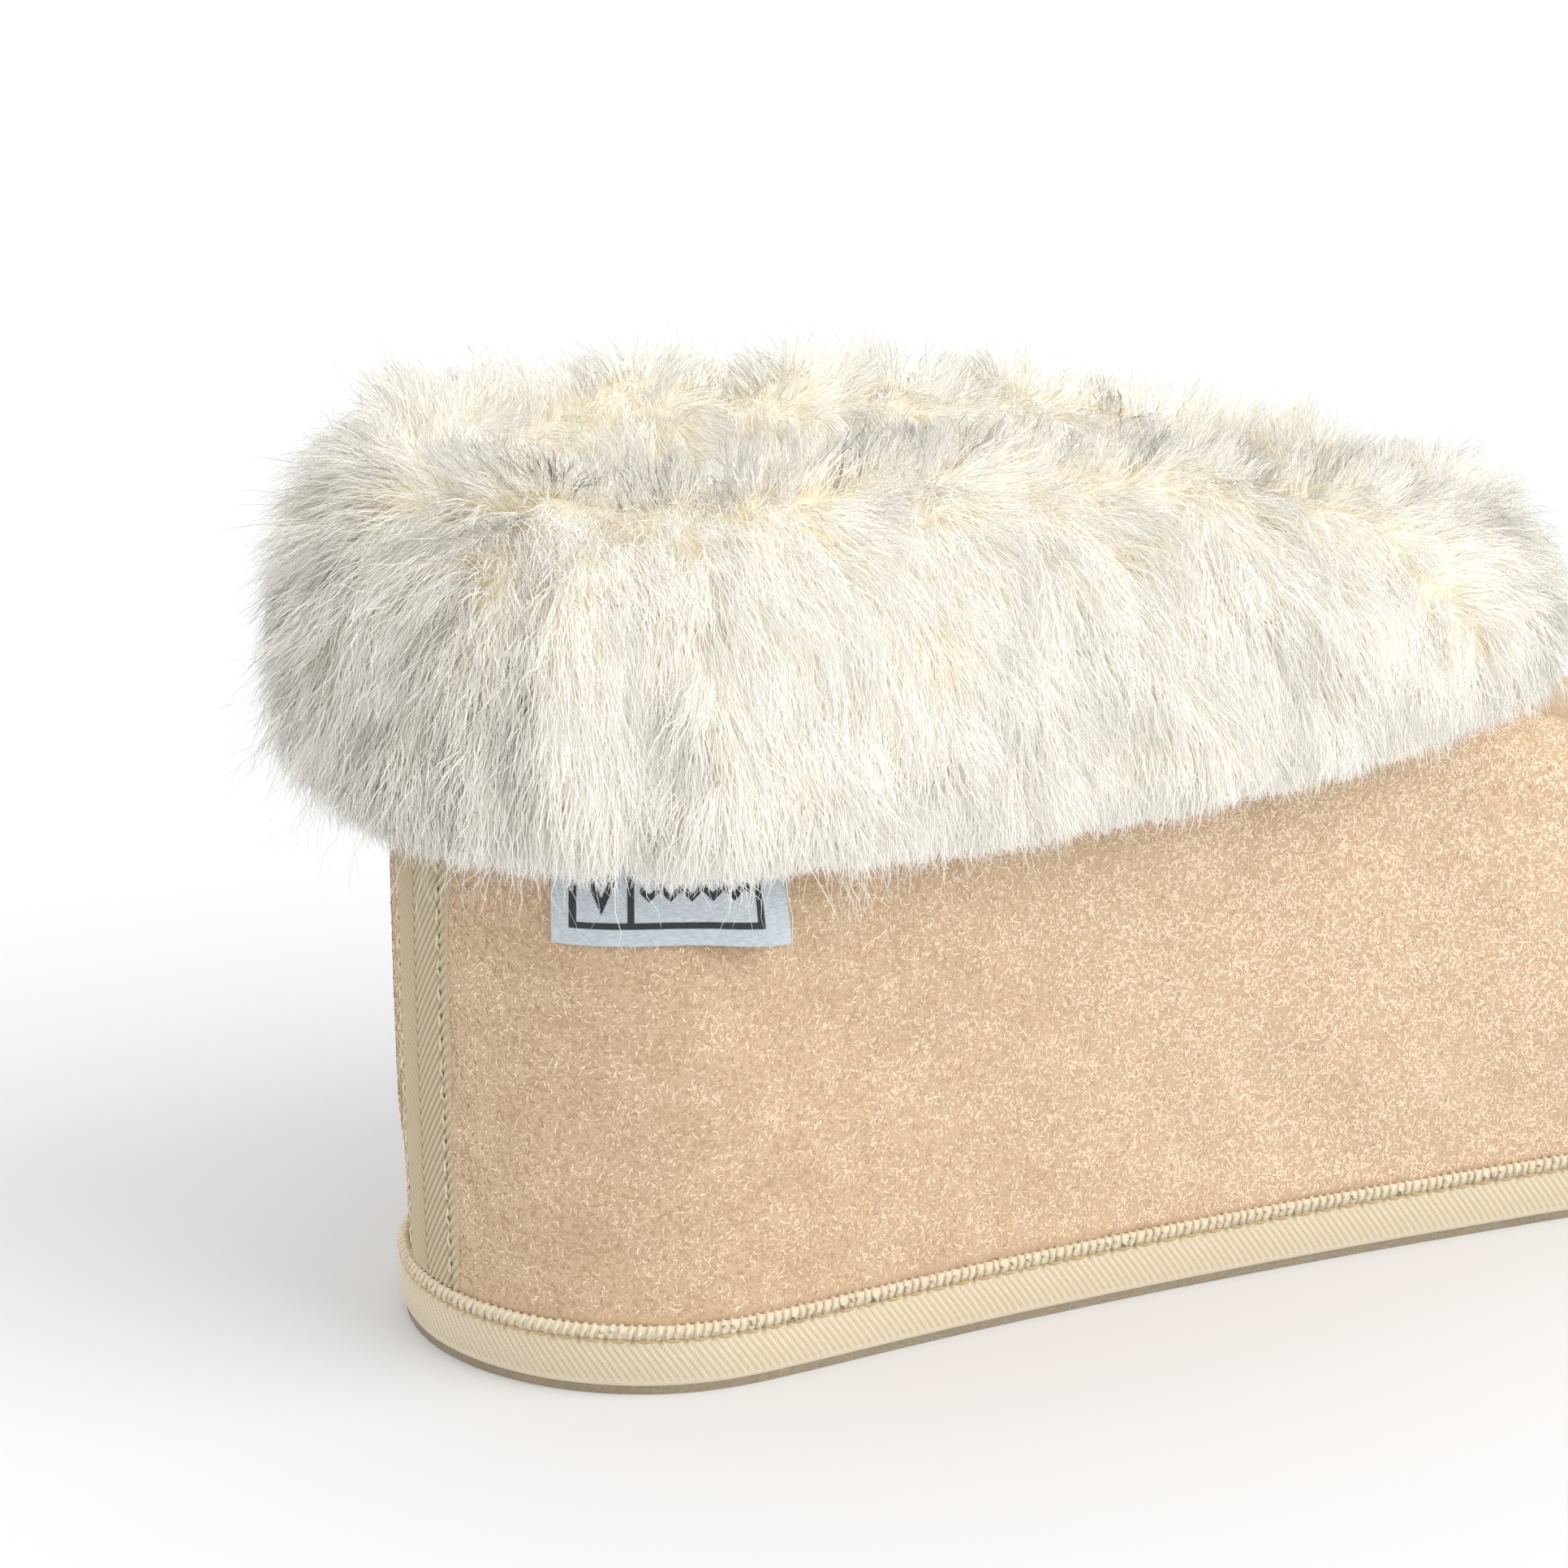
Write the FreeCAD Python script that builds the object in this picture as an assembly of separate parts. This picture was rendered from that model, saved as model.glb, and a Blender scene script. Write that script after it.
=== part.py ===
"""A right-foot sheepskin moccasin slipper with a turned-down wool collar.

Millimetres. +X points to the toe, +Z up, and the outer side of the foot is -Y. The origin lies on the
ground under the middle of the sole's length.
"""
import FreeCAD, Part
import math
import os

Vector = FreeCAD.Vector

# Sole plan, measured from the back of the heel.
LENGTH = 260.0
HEEL_RADIUS = 33.0
LATERAL_WIDTHS = ((33, 33.0), (70, 32.6), (110, 34.5), (150, 38.5), (188, 43.5))
MEDIAL_WIDTHS = ((33, 33.0), (70, 32.6), (110, 33.6), (150, 38.5), (188, 43.5))
TOE_START = 188.0
TOE_POWER = 2.2
TOE_DRIFT = 5.0

# Sole stack.
OUTSOLE_TOP = 2.0
OUTSOLE_INSET = 0.7
MIDSOLE_TOP = 7.6
BINDING_TOP = 8.4
BINDING_THICKNESS = 1.0
THREAD = 0.8
SOCK_TOP = 9.1
SOCK_INSET = 3.4
TREAD_DEPTH = 0.9
TREAD_WIDTH = 2.2
TREAD_PITCH = 6.5
TREAD_ZONES = ((14.0, 74.0, 22.0), (150.0, 236.0, 29.0))

# Upper: suede wall and its wool, as (distance from the heel, height or inset of the top edge).
SUEDE = 1.6
WOOL = 8.0
GAP = 0.25
WALL_INSET = 1.3
WALL_BULGE = 1.3
WALL_TOP = ((0, 99.0), (60, 99.0), (90, 94.0), (112, 87.5), (130, 80.5), (140, 76.8), (148, 73.4),
            (165, 67.0), (187, 57.8), (215, 49.2), (240, 45.6), (260, 43.4))
WALL_TOP_INSET = ((0, 3.2), (80, 3.6), (112, 5.0), (135, 8.5), (165, 11.5), (200, 13.0), (260, 14.0))
WALL_WOOL_BOTTOM = 9.9
WALL_WOOL_TOP = ((0, 93.0), (60, 93.0), (90, 89.0), (112, 84.0), (130, 78.6), (140, 75.8), (148, 72.7),
                 (165, 66.3), (187, 57.1), (215, 48.5), (240, 44.9), (260, 42.7))
HEEL_SLIT = 0.5

# Apron: the U-shaped top piece over the forefoot.
APRON_BACK = 149.0
APRON_CENTRE = ((145, 79.0), (150, 76.8), (158, 73.4), (165, 70.4), (187, 61.6), (200, 56.2), (215, 51.4),
                (228, 48.0), (240, 45.3), (262, 41.0))
SEAM_GAP = 1.2
SEAM_STITCHES = 30
SEAM_STITCH = (4.4, 1.3, 0.9)
SEAM_STITCH_LIFT = 2.7

# Collar: path of the fold, and half-sections as (inset from the path, height) at the heel and in front.
COLLAR_RADIUS = 31.0
COLLAR_TOE_START = 120.0
COLLAR_FRONT = 149.5
COLLAR_POWER = 2.5
COLLAR_HEEL_FLAT = 55.0
SKIN = 1.4
SKIN_HEEL = ((-5.2, 73.6), (-6.6, 82), (-6.8, 92), (-5.4, 102.5), (-1.8, 108.4), (2.2, 107.6),
             (4.8, 102.5), (5.4, 95.5))
SKIN_FRONT = ((-6.4, 75.4), (-7.2, 80.5), (-6.4, 87), (-3.6, 91.8), (-0.4, 93.4), (2.4, 92), (4.4, 87.5),
              (4.9, 82))
PILE_HEEL = ((-7.2, 72.2), (-13, 75.6), (-16, 86), (-15.4, 99), (-12, 110.5), (-6, 118), (1, 120.5),
             (7.8, 117.2), (11.6, 109), (12.4, 100), (11.4, 94.8), (7.6, 94.6), (7.0, 102.5), (4.8, 108.8),
             (0.4, 111.4), (-5.0, 109), (-8.6, 101.5), (-8.8, 90), (-8.2, 80))
PILE_FRONT = ((-8.6, 74.6), (-13.5, 76.5), (-16, 81.5), (-15.6, 88.5), (-12.4, 95.4), (-6.6, 100.4), (0, 102),
              (6.4, 100), (10.4, 94), (11.4, 87.5), (10.4, 82.4), (7.2, 81.6), (6.8, 87.5), (4.9, 92.8),
              (0.6, 96), (-4.8, 95), (-8.4, 90), (-9.2, 84), (-9.0, 79))
COLLAR_SAG = ((20, 0.0), (70, 3.6), (110, 3.0), (145, 0.0))
SAG_FROM = 95.0

# Trim.
TAPE_WIDTH = 15.0
TAPE_BOTTOM = 9.5
TAPE_TOP = 92.0
TAPE_THICKNESS = 0.7
TAPE_STITCH_PITCH = 4.0
LABEL_FROM = 8.9
LABEL_TO = 35.0
LABEL_TOP = 80.5
LABEL_FOLD = 76.3
LABEL_BOTTOM = 60.7
LABEL_THICKNESS = 0.4
LABEL_RELIEF = 0.9

# Loose footbed.
FOOTBED_INSET = 12.4
FOOTBED_TOE_CLEARANCE = 3.0
FOOTBED_BOTTOM = 9.4
FOOTBED_BASE = 2.6
FOOTBED_WOOL_TOP = 19.0

RING_COUNT = 56


def between(table, x):
    """Smooth value at x through a table of (x, value) pairs."""
    if x <= table[0][0]:
        return float(table[0][1])
    for (x0, v0), (x1, v1) in zip(table, table[1:]):
        if x <= x1:
            i = table.index((x0, v0))
            before = table[max(i - 1, 0)]
            after = table[min(i + 2, len(table) - 1)]
            slope0 = (v1 - before[1]) / (x1 - before[0])
            slope1 = (after[1] - v0) / (after[0] - x0)
            t = (x - x0) / (x1 - x0)
            span = x1 - x0
            return ((2 * t**3 - 3 * t**2 + 1) * v0 + (t**3 - 2 * t**2 + t) * span * slope0
                    + (3 * t**2 - 2 * t**3) * v1 + (t**3 - t**2) * span * slope1)
    return float(table[-1][1])


def plan_curve(heel_radius, lateral, medial, toe_start, toe_end, power, drift):
    """Closed plan outline from the heel's back, along the lateral side, round the toe and back."""
    steps = 40
    points = []
    for i in range(steps + 1):
        a = math.pi + 0.5 * math.pi * i / steps
        points.append((HEEL_RADIUS + heel_radius * math.cos(a), heel_radius * math.sin(a)))
    for i in range(1, steps):
        x = HEEL_RADIUS + (toe_start - HEEL_RADIUS) * i / steps
        points.append((x, -between(lateral, x)))
    for i in range(2 * steps + 1):
        a = -0.5 * math.pi + 0.5 * math.pi * i / steps
        side = between(lateral, toe_start) if a < 0 else between(medial, toe_start)
        x = toe_start + (toe_end - toe_start) * abs(math.cos(a)) ** (2 / power)
        y = drift * math.cos(a) + math.copysign(side * abs(math.sin(a)) ** (2 / power), a)
        points.append((x, y))
    for i in range(1, steps):
        x = toe_start - (toe_start - HEEL_RADIUS) * i / steps
        points.append((x, between(medial, x)))
    for i in range(steps):
        a = 0.5 * math.pi + 0.5 * math.pi * i / steps
        points.append((HEEL_RADIUS + heel_radius * math.cos(a), heel_radius * math.sin(a)))
    return points


def frames_along(points, count):
    """count places evenly spaced along a closed outline, each (x, y, inward x, inward y)."""
    lengths = [0.0]
    closed = points + points[:1]
    for a, b in zip(closed, closed[1:]):
        lengths.append(lengths[-1] + math.dist(a, b))
    spots = []
    j = 0
    for i in range(count):
        s = lengths[-1] * i / count
        while lengths[j + 1] <= s:
            j += 1
        t = (s - lengths[j]) / (lengths[j + 1] - lengths[j])
        spots.append(tuple(closed[j][k] * (1 - t) + closed[j + 1][k] * t for k in (0, 1)))
    frames = []
    for i, (x, y) in enumerate(spots):
        before = spots[i - 1]
        after = spots[(i + 1) % count]
        dx = after[0] - before[0]
        dy = after[1] - before[1]
        n = math.hypot(dx, dy)
        frames.append((x, y, -dy / n, dx / n))
    return frames


SOLE = frames_along(plan_curve(HEEL_RADIUS, LATERAL_WIDTHS, MEDIAL_WIDTHS, TOE_START, LENGTH,
                               TOE_POWER, TOE_DRIFT), RING_COUNT)
FOLD = frames_along(plan_curve(COLLAR_RADIUS, ((33, COLLAR_RADIUS), (120, COLLAR_RADIUS)),
                               ((33, COLLAR_RADIUS), (120, COLLAR_RADIUS)), COLLAR_TOE_START,
                               COLLAR_FRONT, COLLAR_POWER, 0.0), RING_COUNT)


def place(frame, inset, z):
    """Model point at an inset from an outline place."""
    x, y, nx, ny = frame
    return Vector(x + nx * inset - LENGTH / 2, y + ny * inset, z)


def outline_wire(inset, z=0.0):
    """Closed smooth wire at an inset from the sole's plan."""
    curve = Part.BSplineCurve()
    curve.interpolate([place(f, inset, z) for f in SOLE], PeriodicFlag=True)
    return Part.Wire([curve.toShape()])


def plate(inset, bottom, top):
    """Flat plate with the sole's plan."""
    return Part.Face(outline_wire(inset, bottom)).extrude(Vector(0, 0, top - bottom))


def through(points):
    """Poles that carry a closed cubic spline through the points."""
    poles = list(points)
    for _ in range(40):
        poles = [(points[i] * 6 - poles[i - 1] - poles[(i + 1) % len(points)]) * 0.25
                 for i in range(len(points))]
    return poles


def ring_solid(frames, section):
    """Closed ring: section(x) gives its closed cross-section as (inset, z) poles."""
    loops = [[place(f, o, z) for o, z in section(f[0])] for f in frames]
    columns = [through([loop[j] for loop in loops]) for j in range(len(loops[0]))]
    rows = [[column[i] for column in columns] for i in range(len(loops))]
    nu = len(rows)
    nv = len(rows[0])
    surface = Part.BSplineSurface()
    surface.buildFromPolesMultsKnots(rows, [1] * (nu + 1), [1] * (nv + 1), list(range(nu + 1)),
                                     list(range(nv + 1)), True, True, 3, 3)
    solid = Part.makeSolid(Part.makeShell([surface.toShape()]))
    if solid.Volume < 0:
        solid.reverse()
    return solid


def box(x0, x1, y0, y1, z0, z1):
    """Axis-aligned block; x is measured from the back of the heel."""
    return Part.makeBox(x1 - x0, y1 - y0, z1 - z0, Vector(x0 - LENGTH / 2, y0, z0))


def wall_line(x, bottom, top_table, depth, steps=9):
    """Points up the wall at a depth inside its outer face, as (inset, z) from bottom to top edge."""
    top = between(top_table, x)
    edge = between(WALL_TOP_INSET, x)
    line = []
    for i in range(steps):
        a = 0.5 * math.pi * i / (steps - 1)
        inset = WALL_INSET + (edge - WALL_INSET) * (1 - math.cos(a)) - WALL_BULGE * math.sin(2 * a)
        z = bottom + (top - bottom) * math.sin(a)
        line.append((inset, z))
    moved = []
    for i, (o, z) in enumerate(line):
        before = line[max(i - 1, 0)]
        after = line[min(i + 1, steps - 1)]
        do = after[0] - before[0]
        dz = after[1] - before[1]
        n = math.hypot(do, dz)
        lift = -do / n * depth if i else 0.0
        moved.append((o + dz / n * depth, z + lift))
    return moved


def wall_layer(bottom, top_table, outer, inner):
    """Ring between two depths inside the wall's outer face, with square edges."""
    def section(x):
        out = wall_line(x, bottom, top_table, outer)
        back = wall_line(x, bottom, top_table, inner)[::-1]
        return [out[0]] + out + [out[-1], back[0]] + back + [back[-1]]
    return ring_solid(SOLE, section)


def flat_ring(outer, inner, bottom, top):
    """Ring with an upright rectangular section that follows the sole's plan."""
    return plate(outer, bottom, top).cut(plate(inner, bottom - 1, top + 1))


def outsole():
    """Thin rubber outsole with straight tread grooves across the heel and the ball."""
    body = plate(OUTSOLE_INSET, 0.0, OUTSOLE_TOP)
    grooves = []
    for start, end, reach in TREAD_ZONES:
        for i in range(int((end - start) / TREAD_PITCH) + 1):
            x = start + i * TREAD_PITCH
            grooves.append(box(x, x + TREAD_WIDTH, -reach, reach, -1.0, TREAD_DEPTH))
    return body.cut(Part.makeCompound(grooves))


def upper_wall():
    """One-piece suede side wall from heel to toe, joined in a butt seam at the heel."""
    wall = wall_layer(MIDSOLE_TOP + 0.1, WALL_TOP, 0.0, SUEDE)
    return wall.cut(box(-5, 12, -HEEL_SLIT / 2, HEEL_SLIT / 2, 0, 120))


def apron_edge(clearance):
    """Plan outline of the apron as a closed wire at z 0, inside the wall's top edge by a clearance."""
    side = []
    for f in SOLE:
        if f[0] > APRON_BACK:
            side.append(place(f, between(WALL_TOP_INSET, f[0]) + SEAM_GAP + clearance, 0.0))
    curve = Part.BSplineCurve()
    curve.interpolate(side)
    back = Part.LineSegment(side[-1], side[0])
    return Part.Wire([curve.toShape(), back.toShape()])


def apron_layer(clearance, drop, thickness):
    """Crowned sheet over the forefoot at a depth below the apron's outer face."""
    sections = []
    reach = 60.0
    for x, centre in APRON_CENTRE:
        crown = centre - between(WALL_TOP, x)
        half = between(LATERAL_WIDTHS, min(x, TOE_START)) - between(WALL_TOP_INSET, x)
        fall = max(crown, 0.5) * (reach / half) ** 2
        top = [Vector(x - LENGTH / 2, s * reach, centre - drop - fall * s * s) for s in (-1, -0.5, 0, 0.5, 1)]
        low = [p - Vector(0, 0, thickness) for p in top]
        upper = Part.BSplineCurve()
        upper.interpolate(top)
        lower = Part.BSplineCurve()
        lower.interpolate(low)
        sections.append(Part.Wire([upper.toShape(), Part.LineSegment(top[-1], low[-1]).toShape(),
                                   lower.toShape(), Part.LineSegment(low[0], top[0]).toShape()]))
    sheet = Part.makeLoft(sections, True)
    prism = Part.Face(apron_edge(clearance)).extrude(Vector(0, 0, 150))
    return sheet.common(prism)


def seam_places(count):
    """Evenly spaced places along the apron seam: (point on the seam, direction across it)."""
    side = [f for f in SOLE if f[0] > APRON_BACK + 12]
    places = []
    for i in range(count):
        s = (len(side) - 1) * i / (count - 1)
        j = min(int(s), len(side) - 2)
        f = tuple(a + (b - a) * (s - j) for a, b in zip(side[j], side[j + 1]))
        inset = between(WALL_TOP_INSET, f[0]) + SEAM_GAP / 2
        places.append((place(f, inset, between(WALL_TOP, f[0])), math.atan2(f[3], f[2])))
    return places


def apron_stitches():
    """Hand-sewn bars that cross the apron seam."""
    length, width, height = SEAM_STITCH
    bars = []
    for point, angle in seam_places(SEAM_STITCHES):
        bar = Part.makeBox(length, width, height, Vector(-length / 2, -width / 2, SEAM_STITCH_LIFT))
        bar.rotate(Vector(), Vector(0, 0, 1), math.degrees(angle))
        bar.translate(point)
        bars.append(bar)
    return Part.makeCompound(bars)


def collar_mix(x):
    """0 over the heel and sides, 1 at the collar's front."""
    t = min(max((x - COLLAR_HEEL_FLAT) / (COLLAR_FRONT - 8 - COLLAR_HEEL_FLAT), 0.0), 1.0)
    return t * (0.35 + 0.65 * t) if t < 1 else 1.0


def mixed(heel, front, x):
    """Section between the heel's and the front's, at a distance x from the heel."""
    t = collar_mix(x)
    sag = between(COLLAR_SAG, x)
    section = []
    for a, b in zip(heel, front):
        o = a[0] * (1 - t) + b[0] * t
        z = a[1] * (1 - t) + b[1] * t
        outside = min(max(-o / 5, 0.0), 1.0)
        low = max(SAG_FROM - z, 0.0) / (SAG_FROM - SKIN_HEEL[0][1])
        section.append((o, z - sag * outside * low))
    return section


def collar_skin():
    """Turned-down hide: up inside the fold, over, and down outside, as a closed band."""
    def section(x):
        line = mixed(SKIN_HEEL, SKIN_FRONT, x)
        sides = ([], [])
        for i, (o, z) in enumerate(line):
            before = line[max(i - 1, 0)]
            after = line[min(i + 1, len(line) - 1)]
            do = after[0] - before[0]
            dz = after[1] - before[1]
            n = math.hypot(do, dz) / (SKIN / 2)
            sides[0].append((o - dz / n, z + do / n))
            sides[1].append((o + dz / n, z - do / n))
        return [sides[0][0]] + sides[0] + [sides[0][-1]] + [sides[1][-1]] + sides[1][::-1] + [sides[1][0]]
    return ring_solid(FOLD, section)


def collar_wool():
    """Wool pile that covers the turned-down collar and the mouth."""
    return ring_solid(FOLD, lambda x: mixed(PILE_HEEL, PILE_FRONT, x))


def trim_layer(outer, inner):
    """Thin layer outside the suede wall, which trims are cut from; its height follows the wall."""
    return wall_layer(MIDSOLE_TOP + 0.1, WALL_TOP, -outer, -inner)


def heel_seam_tape():
    """Woven tape over the heel seam."""
    half = TAPE_WIDTH / 2
    return trim_layer(GAP + TAPE_THICKNESS, GAP).common(box(-5, 12, -half, half, TAPE_BOTTOM, TAPE_TOP))


def heel_tape_stitches():
    """Two rows of stitches along the tape's edges."""
    layer = trim_layer(GAP + TAPE_THICKNESS + 0.5, GAP + TAPE_THICKNESS + 0.1)
    stitches = []
    for side in (-1, 1):
        y = side * (TAPE_WIDTH / 2 - 1.5)
        for i in range(int((TAPE_TOP - TAPE_BOTTOM - 4) / TAPE_STITCH_PITCH)):
            z = TAPE_BOTTOM + 2 + i * TAPE_STITCH_PITCH
            stitches.append(box(-5, 12, y - 0.35, y + 0.35, z, z + TAPE_STITCH_PITCH * 0.6))
    return layer.common(Part.makeCompound(stitches))


def label_piece(bottom, top):
    """Part of the woven side label between two heights."""
    layer = trim_layer(GAP + LABEL_THICKNESS, GAP)
    return layer.common(box(LABEL_FROM, LABEL_TO, -60, 0, bottom, top))


def label_stitches():
    """Stitches that hold the label's top edge to the wall."""
    layer = trim_layer(GAP + LABEL_THICKNESS + 0.5, GAP + LABEL_THICKNESS + 0.1)
    z = (LABEL_TOP + LABEL_FOLD + LABEL_RELIEF) / 2
    count = 8
    pitch = (LABEL_TO - LABEL_FROM - 2) / count
    stitches = []
    for i in range(count):
        x = LABEL_FROM + 1 + (i + 0.2) * pitch
        stitches.append(box(x, x + 0.6 * pitch, -60, 0, z - 0.35, z + 0.35))
    return layer.common(Part.makeCompound(stitches))


def topline_thread():
    """Thread that runs along the wall's top edge, inside the collar's fold."""
    def section(x):
        o = between(WALL_TOP_INSET, x) + 0.4
        z = between(WALL_TOP, x) + 1.0
        return [(o - 0.5, z - 0.4), (o - 0.5, z + 0.4), (o + 0.5, z + 0.4), (o + 0.5, z - 0.4)]
    ring = ring_solid(SOLE, section)
    return ring.common(box(-10, COLLAR_TOE_START, -60, 60, 60, 120))


def footbed(bottom, top, extra):
    """Layer of the loose footbed, a little short of the toe wall so that it can tip up."""
    layer = plate(FOOTBED_INSET + extra, bottom, top)
    front = LENGTH - FOOTBED_INSET - FOOTBED_TOE_CLEARANCE
    return layer.common(box(0, front, -60, 60, 0, 60))


NODES = {
    "outsole": outsole,
    "midsole": lambda: plate(BINDING_THICKNESS + 0.05, OUTSOLE_TOP, MIDSOLE_TOP),
    "sole_binding": lambda: flat_ring(0.0, BINDING_THICKNESS, OUTSOLE_TOP, BINDING_TOP),
    "binding_thread": lambda: flat_ring(0.1, 0.1 + THREAD, BINDING_TOP, BINDING_TOP + THREAD),
    "sock_board": lambda: plate(SOCK_INSET, MIDSOLE_TOP, SOCK_TOP),
    "upper_wall": upper_wall,
    "wall_wool": lambda: wall_layer(WALL_WOOL_BOTTOM, WALL_WOOL_TOP, SUEDE + GAP, SUEDE + GAP + WOOL),
    "apron": lambda: apron_layer(0.0, 0.0, SUEDE),
    "apron_wool": lambda: apron_layer(WOOL, SUEDE + GAP, WOOL),
    "apron_stitches": apron_stitches,
    "collar_skin": collar_skin,
    "collar_wool": collar_wool,
    "topline_thread": topline_thread,
    "heel_seam_tape": heel_seam_tape,
    "heel_tape_stitches": heel_tape_stitches,
    "label_margin": lambda: label_piece(LABEL_FOLD + LABEL_RELIEF, LABEL_TOP),
    "label_flap": lambda: label_piece(LABEL_BOTTOM, LABEL_FOLD),
    "label_stitches": label_stitches,
    "footbed_base": lambda: footbed(FOOTBED_BOTTOM, FOOTBED_BOTTOM + FOOTBED_BASE, 0.0),
    "footbed_wool": lambda: footbed(FOOTBED_BOTTOM + FOOTBED_BASE, FOOTBED_WOOL_TOP, 0.3),
}

os.makedirs("parts", exist_ok=True)
for name, make in NODES.items():
    shape = make()
    print(name, shape.ShapeType, len(shape.Solids), shape.isValid(), round(shape.Volume, 1))
    shape.exportStep("parts/" + name + ".step")
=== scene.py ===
import math

import bmesh
import bpy
import numpy as np
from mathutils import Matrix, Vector
from mathutils.bvhtree import BVHTree
from mathutils.kdtree import KDTree


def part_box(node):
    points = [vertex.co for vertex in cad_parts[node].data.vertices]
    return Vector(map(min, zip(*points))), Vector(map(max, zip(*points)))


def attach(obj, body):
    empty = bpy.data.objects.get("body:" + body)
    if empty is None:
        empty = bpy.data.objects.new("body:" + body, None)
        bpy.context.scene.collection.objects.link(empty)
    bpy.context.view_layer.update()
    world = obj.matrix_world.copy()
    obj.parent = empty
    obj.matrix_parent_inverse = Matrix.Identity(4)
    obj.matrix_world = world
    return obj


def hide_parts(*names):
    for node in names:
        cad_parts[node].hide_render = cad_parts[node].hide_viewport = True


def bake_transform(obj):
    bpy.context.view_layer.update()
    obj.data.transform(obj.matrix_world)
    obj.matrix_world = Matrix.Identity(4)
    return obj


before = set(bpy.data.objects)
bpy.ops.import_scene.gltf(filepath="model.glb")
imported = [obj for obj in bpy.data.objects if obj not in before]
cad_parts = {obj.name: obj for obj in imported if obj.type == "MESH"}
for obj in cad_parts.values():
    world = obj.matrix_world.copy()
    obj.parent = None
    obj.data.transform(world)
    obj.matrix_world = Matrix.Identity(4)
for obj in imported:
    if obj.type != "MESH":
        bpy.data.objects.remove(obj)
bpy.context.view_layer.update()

# The looks of a sheepskin moccasin, in metres, built around the CAD nodes. Most pieces are laid on the
# outer faces of the CAD rings: an upright half-plane turns round a stadium-shaped spine, and each ring is
# cut by it at many stations.
MM = 0.001
UP = np.array([0.0, 0.0, 1.0])
DENSITY = 1.0

# strands and fibres at full density
COLLAR_STRANDS = 150000
STRAY_STRANDS = 6000
FRINGE_STRANDS = 12000
NAP_FIBRES = 220000
LINING_STRANDS = 30000
FOOTBED_STRANDS = 16000
PIECE_QUADS = 96000

# stations round each ring
COLLAR_STATIONS = 300
WALL_STATIONS = 420
RIM_STATIONS = 3300
LINING_STATIONS = 260
FOOTBED_STATIONS = 240

# sewing
BINDING_RIB = 1.05 * MM
BINDING_STITCH = 3.5 * MM
WHIPPING_PITCH = 1.22 * MM
TAPE_RIB = 1.55 * MM
TAPE_STITCH = 3.4 * MM
TAPE_STITCH_INSET = 1.5 * MM


# ---------------------------------------------------------------- reading shapes from the frame

def node_mesh(name):
    """Points and triangles of a CAD node, with points that share a place merged."""
    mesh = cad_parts[name].data
    mesh.calc_loop_triangles()
    points = np.empty(len(mesh.vertices) * 3)
    triangles = np.empty(len(mesh.loop_triangles) * 3, np.int64)
    mesh.vertices.foreach_get("co", points)
    mesh.loop_triangles.foreach_get("vertices", triangles)
    points = points.reshape(-1, 3)
    keys = np.round(points / (0.002 * MM)).astype(np.int64)
    _, first, index = np.unique(keys, axis=0, return_index=True, return_inverse=True)
    return points[first], index.ravel()[triangles].reshape(-1, 3)


def node_tree(name):
    """Search tree over a CAD node's surface."""
    points, triangles = node_mesh(name)
    return BVHTree.FromPolygons(points.tolist(), triangles.tolist())


def stations(spine, radius, count):
    """Upright half-planes spread evenly round a stadium, each (origin, outward direction), anticlockwise."""
    start, end = spine
    arc = math.pi * radius
    total = 2 * (arc + end - start)
    found = []
    for i in range(count):
        s = (i + 0.5) / count * total
        if s < arc:
            origin, angle = start, math.pi / 2 + s / radius
        elif s < arc + end - start:
            origin, angle = start + s - arc, -math.pi / 2
        elif s < total - (end - start):
            origin, angle = end, -math.pi / 2 + (s - arc - (end - start)) / radius
        else:
            origin, angle = end - (s - 2 * arc - (end - start)), math.pi / 2
        found.append((np.array([origin, 0.0]), np.array([math.cos(angle), math.sin(angle)])))
    return found


def section(mesh, station):
    """Where the half-plane cuts the mesh, as one closed loop of (reach, height)."""
    points, triangles = mesh
    origin, direction = station
    flat = points[:, :2] - origin
    side = flat @ np.array([-direction[1], direction[0]]) + 1e-9
    up = side[triangles] > 0
    cut = triangles[up.any(1) & ~up.all(1)]
    edges = np.stack([cut, np.roll(cut, -1, axis=1)], axis=-1)
    crosses = (side[edges[..., 0]] > 0) != (side[edges[..., 1]] > 0)
    pairs = np.sort(edges[crosses].reshape(-1, 2), axis=1)
    share = (side[pairs[:, 0]] / (side[pairs[:, 0]] - side[pairs[:, 1]]))[:, None]
    places = points[pairs[:, 0]] * (1 - share) + points[pairs[:, 1]] * share
    reach = (places[:, :2] - origin) @ direction
    names = pairs[:, 0] * len(points) + pairs[:, 1]
    links = {}
    for a, b in zip(range(0, len(names), 2), range(1, len(names), 2)):
        if reach[a] > 0 and reach[b] > 0:
            links.setdefault(names[a], []).append((names[b], b))
            links.setdefault(names[b], []).append((names[a], a))
    best, left = [], set(links)
    while left:
        here = left.pop()
        walk = []
        while True:
            step = next(((n, i) for n, i in links[here] if n in left), None)
            if step is None:
                break
            here = step[0]
            left.discard(here)
            walk.append(step[1])
        if len(walk) > len(best):
            best = walk
    return np.stack([reach[best], places[best, 2]], axis=1)


def resample(line, count):
    """count points spread evenly along an open line."""
    steps = np.linalg.norm(np.diff(line, axis=0), axis=1)
    along = np.concatenate([[0.0], np.cumsum(steps)])
    wanted = np.linspace(0, along[-1], count)
    return np.stack([np.interp(wanted, along, line[:, k]) for k in range(line.shape[1])], axis=1)


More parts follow.
